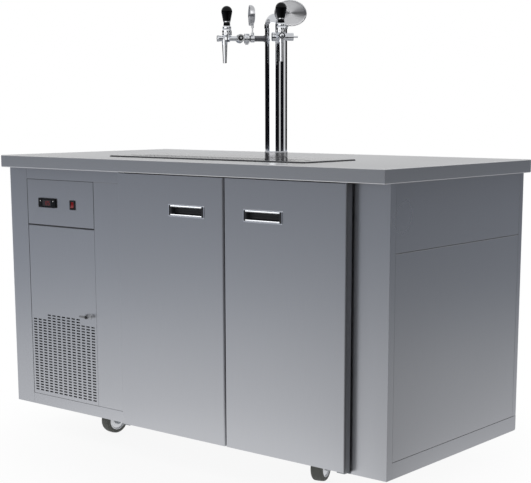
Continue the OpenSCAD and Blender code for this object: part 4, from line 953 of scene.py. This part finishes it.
def studioWorld(look=worldLook):
    world = bpy.data.worlds.new("studio")
    scene.world = world
    world.use_nodes = True
    tree = world.node_tree
    tree.nodes.clear()
    path = addNode(tree, "ShaderNodeLightPath").outputs
    direction = addNode(tree, "ShaderNodeTexCoord").outputs["Generated"]
    part = addNode(tree, "ShaderNodeSeparateXYZ", {0: direction}).outputs
    climb = addNode(tree, "ShaderNodeMapRange", {
        "Value": part["Z"], "From Min": math.sin(math.radians(look["ceilingFrom"])),
        "From Max": math.sin(math.radians(look["ceilingFull"]))}, interpolation_type="SMOOTHSTEP").outputs[0]
    bright = addNode(tree, "ShaderNodeMix", {
        0: climb, 6: hexToLinear(look["gap"]), 7: hexToLinear(look["ceiling"])}, data_type="RGBA").outputs[2]
    lit = addNode(tree, "ShaderNodeMix", {
        0: path["Is Camera Ray"], 6: hexToLinear(look["fill"]), 7: (1, 1, 1, 1)}, data_type="RGBA").outputs[2]
    plain = addNode(tree, "ShaderNodeBackground", {"Color": lit}).outputs[0]
    glossy = addNode(tree, "ShaderNodeBackground", {"Color": bright, "Strength": look["strength"]}).outputs[0]
    both = addNode(tree, "ShaderNodeMixShader", {0: path["Is Glossy Ray"], 1: plain, 2: glossy}).outputs[0]
    addNode(tree, "ShaderNodeOutputWorld", {"Surface": both})


# White and grey boards that only the named groups mirror. Each is a patch of the view from the
# middle of its groups: azimuth and climb from and to in degrees, and a level where 1 is white.
mirrorGroups = {
    "tower": ["tower_column", "tower_cap", "tower_base"],
    "fittings": ["tap_bodies", "tap_spouts", "tap_bonnets", "coupling_nuts", "badge_clamps"] + [
        side + piece for side in sides for piece in (
            "_compensator", "_barrel_button", "_nose_button", "_lever_cup", "_lever_ring", "_lever_stem")],
    "badges": ["left_badge", "right_badge"],
    "pulls": ["left_pull_bezel", "right_pull_bezel"],
    "tray": ["drip_tray", "drip_grate"],
    "tops": ["worktop", "drip_tray", "drip_grate"],
}
taps = ("tower", "fittings")
boards = {
    "wide_white_board": {"onto": taps, "turn": (-125, -57), "climb": (-13, 18), "level": 1.25},
    "narrow_grey_board": {"onto": taps, "turn": (-18, -2), "climb": (-13, 18), "level": 0.62},
    "pale_side_board": {"onto": taps, "turn": (37, 64), "climb": (-13, 18), "level": 0.68},
    "front_grey_board": {"onto": ("fittings",), "turn": (-44, -34), "climb": (-5, 18), "level": 0.4},
    "high_front_board": {"onto": ("badges",), "turn": (-85, -10), "climb": (15, 65), "level": 1.3},
    "high_side_board": {"onto": ("pulls",), "turn": (-165, -95), "climb": (18, 50), "level": 2.2},
    "pale_wall_board": {"onto": ("tops",), "turn": (90, 170), "climb": (-3, 22), "level": 0.28},
    "low_wall_board": {"onto": ("tray",), "turn": (95, 165), "climb": (-4, 10), "level": 0.3},
}
boardAway = 3.0  # metres


def areaLamp(name, size, power, place):
    data = bpy.data.lights.new(name, "AREA")
    data.shape = "RECTANGLE"
    data.size, data.size_y = size
    data.energy = power
    lamp = bpy.data.objects.new(name, data)
    scene.collection.objects.link(lamp)
    lamp.matrix_world = place
    lamp.visible_camera = False
    return lamp


def mirrorBoard(name):
    board = boards[name]
    receivers = bpy.data.collections.new(name + "_receivers")
    points = []
    for group in board["onto"]:
        for piece in mirrorGroups[group]:
            mirror = nodes.get(piece) or bpy.data.objects[piece]
            receivers.objects.link(mirror)
            points += [mirror.matrix_world @ Vector(corner) for corner in mirror.bound_box]
    spans = (board["turn"], board["climb"])
    turn, climb = [math.radians(low + high) / 2 for low, high in spans]
    width, height = [2 * boardAway * math.tan(math.radians(high - low) / 2) for low, high in spans]
    towards = Vector((math.cos(turn) * math.cos(climb), math.sin(turn) * math.cos(climb), math.sin(climb)))
    place = standing(sum(points, Vector()) / len(points) + towards * boardAway, towards)
    lamp = areaLamp(name, (width, height), board["level"] * math.pi * width * height, place)
    lamp.light_linking.receiver_collection = receivers


floorLook = {
    "colour": "#EDEDED", "rough": 0.9, "radius": 26, "shadowShare": 0.1, "whiteFrom": 0.4, "whiteTo": 1.1,
    # How it looks in the steel, by distance in metres from the middle of the object
    "shades": ((0.7, "#EDEEF0"), (1.0, "#DBDCDF"), (2.1, "#CFD1D5"), (3.2, "#B9BDC4"), (4.8, "#9DA2AB"),
               (7.5, "#A2A7B1"), (13, "#B6BCC8")),
    "farthest": 14, "darkTowards": -20, "darkFrom": (0.7, -0.35, 0), "litLean": -0.55, "darkest": 0.08,
}


def studioFloor(look=floorLook):
    bm = bmesh.new()
    bmesh.ops.create_circle(bm, cap_ends=True, segments=96, radius=look["radius"])
    mesh = bpy.data.meshes.new("studio_floor")
    bm.to_mesh(mesh)
    bm.free()
    floor = bpy.data.objects.new("studio_floor", mesh)
    scene.collection.objects.link(floor)
    material, tree, shader, place = newMaterial("pale_studio_floor", {
        "Base Color": hexToLinear(look["colour"]), "Roughness": look["rough"]})
    mesh.materials.append(material)
    path = addNode(tree, "ShaderNodeLightPath").outputs
    distance = addNode(tree, "ShaderNodeVectorMath", {0: place}, operation="LENGTH").outputs["Value"]
    # Seen directly, the floor is white away from the object and keeps a soft shadow below it
    white = addNode(tree, "ShaderNodeMapRange", {
        "Value": distance, "From Min": look["whiteFrom"], "From Max": look["whiteTo"],
        "To Min": 1 - look["shadowShare"]}, interpolation_type="SMOOTHSTEP").outputs[0]
    seen = addNode(tree, "ShaderNodeMath", {0: white, 1: path["Is Camera Ray"]}, operation="MULTIPLY")
    share = addNode(tree, "ShaderNodeMath", {
        0: seen.outputs[0], 1: path["Is Glossy Ray"]}, operation="MAXIMUM").outputs[0]
    # In the steel it fades with distance, and falls dark towards one side
    reach = addNode(tree, "ShaderNodeMath", {0: distance, 1: 1 / look["farthest"]}, operation="MULTIPLY")
    ramp = addNode(tree, "ShaderNodeValToRGB", {0: reach.outputs[0]})
    elements = ramp.color_ramp.elements
    for k, (metres, shade) in enumerate(look["shades"]):
        element = elements[k] if k < 2 else elements.new(1.0)
        element.position = metres / look["farthest"]
        element.color = hexToLinear(shade)
    aside = addNode(tree, "ShaderNodeVectorMath", {0: place, 1: look["darkFrom"]}, operation="SUBTRACT")
    aside = addNode(tree, "ShaderNodeVectorMath", {0: aside.outputs[0]}, operation="NORMALIZE").outputs[0]
    angle = math.radians(look["darkTowards"])
    lean = addNode(tree, "ShaderNodeVectorMath", {
        0: aside, 1: (math.cos(angle), math.sin(angle), 0)}, operation="DOT_PRODUCT").outputs["Value"]
    dimming = addNode(tree, "ShaderNodeMapRange", {
        "Value": lean, "From Min": look["litLean"], "From Max": 1.0, "To Min": 1.0,
        "To Max": look["darkest"]}).outputs[0]
    dimmed = addNode(tree, "ShaderNodeVectorMath", {
        0: ramp.outputs[0], "Scale": dimming}, operation="SCALE").outputs[0]
    colour = addNode(tree, "ShaderNodeMix", {
        0: path["Is Glossy Ray"], 6: (1, 1, 1, 1), 7: dimmed}, data_type="RGBA").outputs[2]
    glowing = addNode(tree, "ShaderNodeEmission", {"Color": colour}).outputs[0]
    mixed = addNode(tree, "ShaderNodeMixShader", {0: share, 1: shader.outputs[0], 2: glowing}).outputs[0]
    output = next(n for n in tree.nodes if n.type == "OUTPUT_MATERIAL")
    tree.links.new(mixed, output.inputs["Surface"])


# One wide lamp overhead for the dull finishes and the floor; mirrors don't show it
lampLook = {"place": (-0.4, -0.6, 3.4), "target": (0, 0, 0.6), "size": (3.2, 2.4), "power": 22}


def overheadLamp(look=lampLook):
    place = standing(look["place"], Vector(look["place"]) - Vector(look["target"]))
    lamp = areaLamp("overhead", look["size"], look["power"], place)
    lamp.visible_glossy = False


studioWorld()
for name in boards:
    mirrorBoard(name)
studioFloor()
overheadLamp()
print("studio built")


# Camera, fitted to the photograph's edges

cameraLook = {
    "place": (2.3404, -2.7523, 0.9843), "turn": (79.92, 0, 39.13), "lens": 84.14,
    "sensor": 36, "shift": (-0.0296, 0.164),
}
cameraData = bpy.data.cameras.new("camera")
cameraData.lens = cameraLook["lens"]
cameraData.sensor_width = cameraLook["sensor"]
cameraData.shift_x, cameraData.shift_y = cameraLook["shift"]
camera = bpy.data.objects.new("camera", cameraData)
camera.location = cameraLook["place"]
camera.rotation_euler = [math.radians(a) for a in cameraLook["turn"]]
scene.collection.objects.link(camera)
scene.camera = camera
print("camera set")
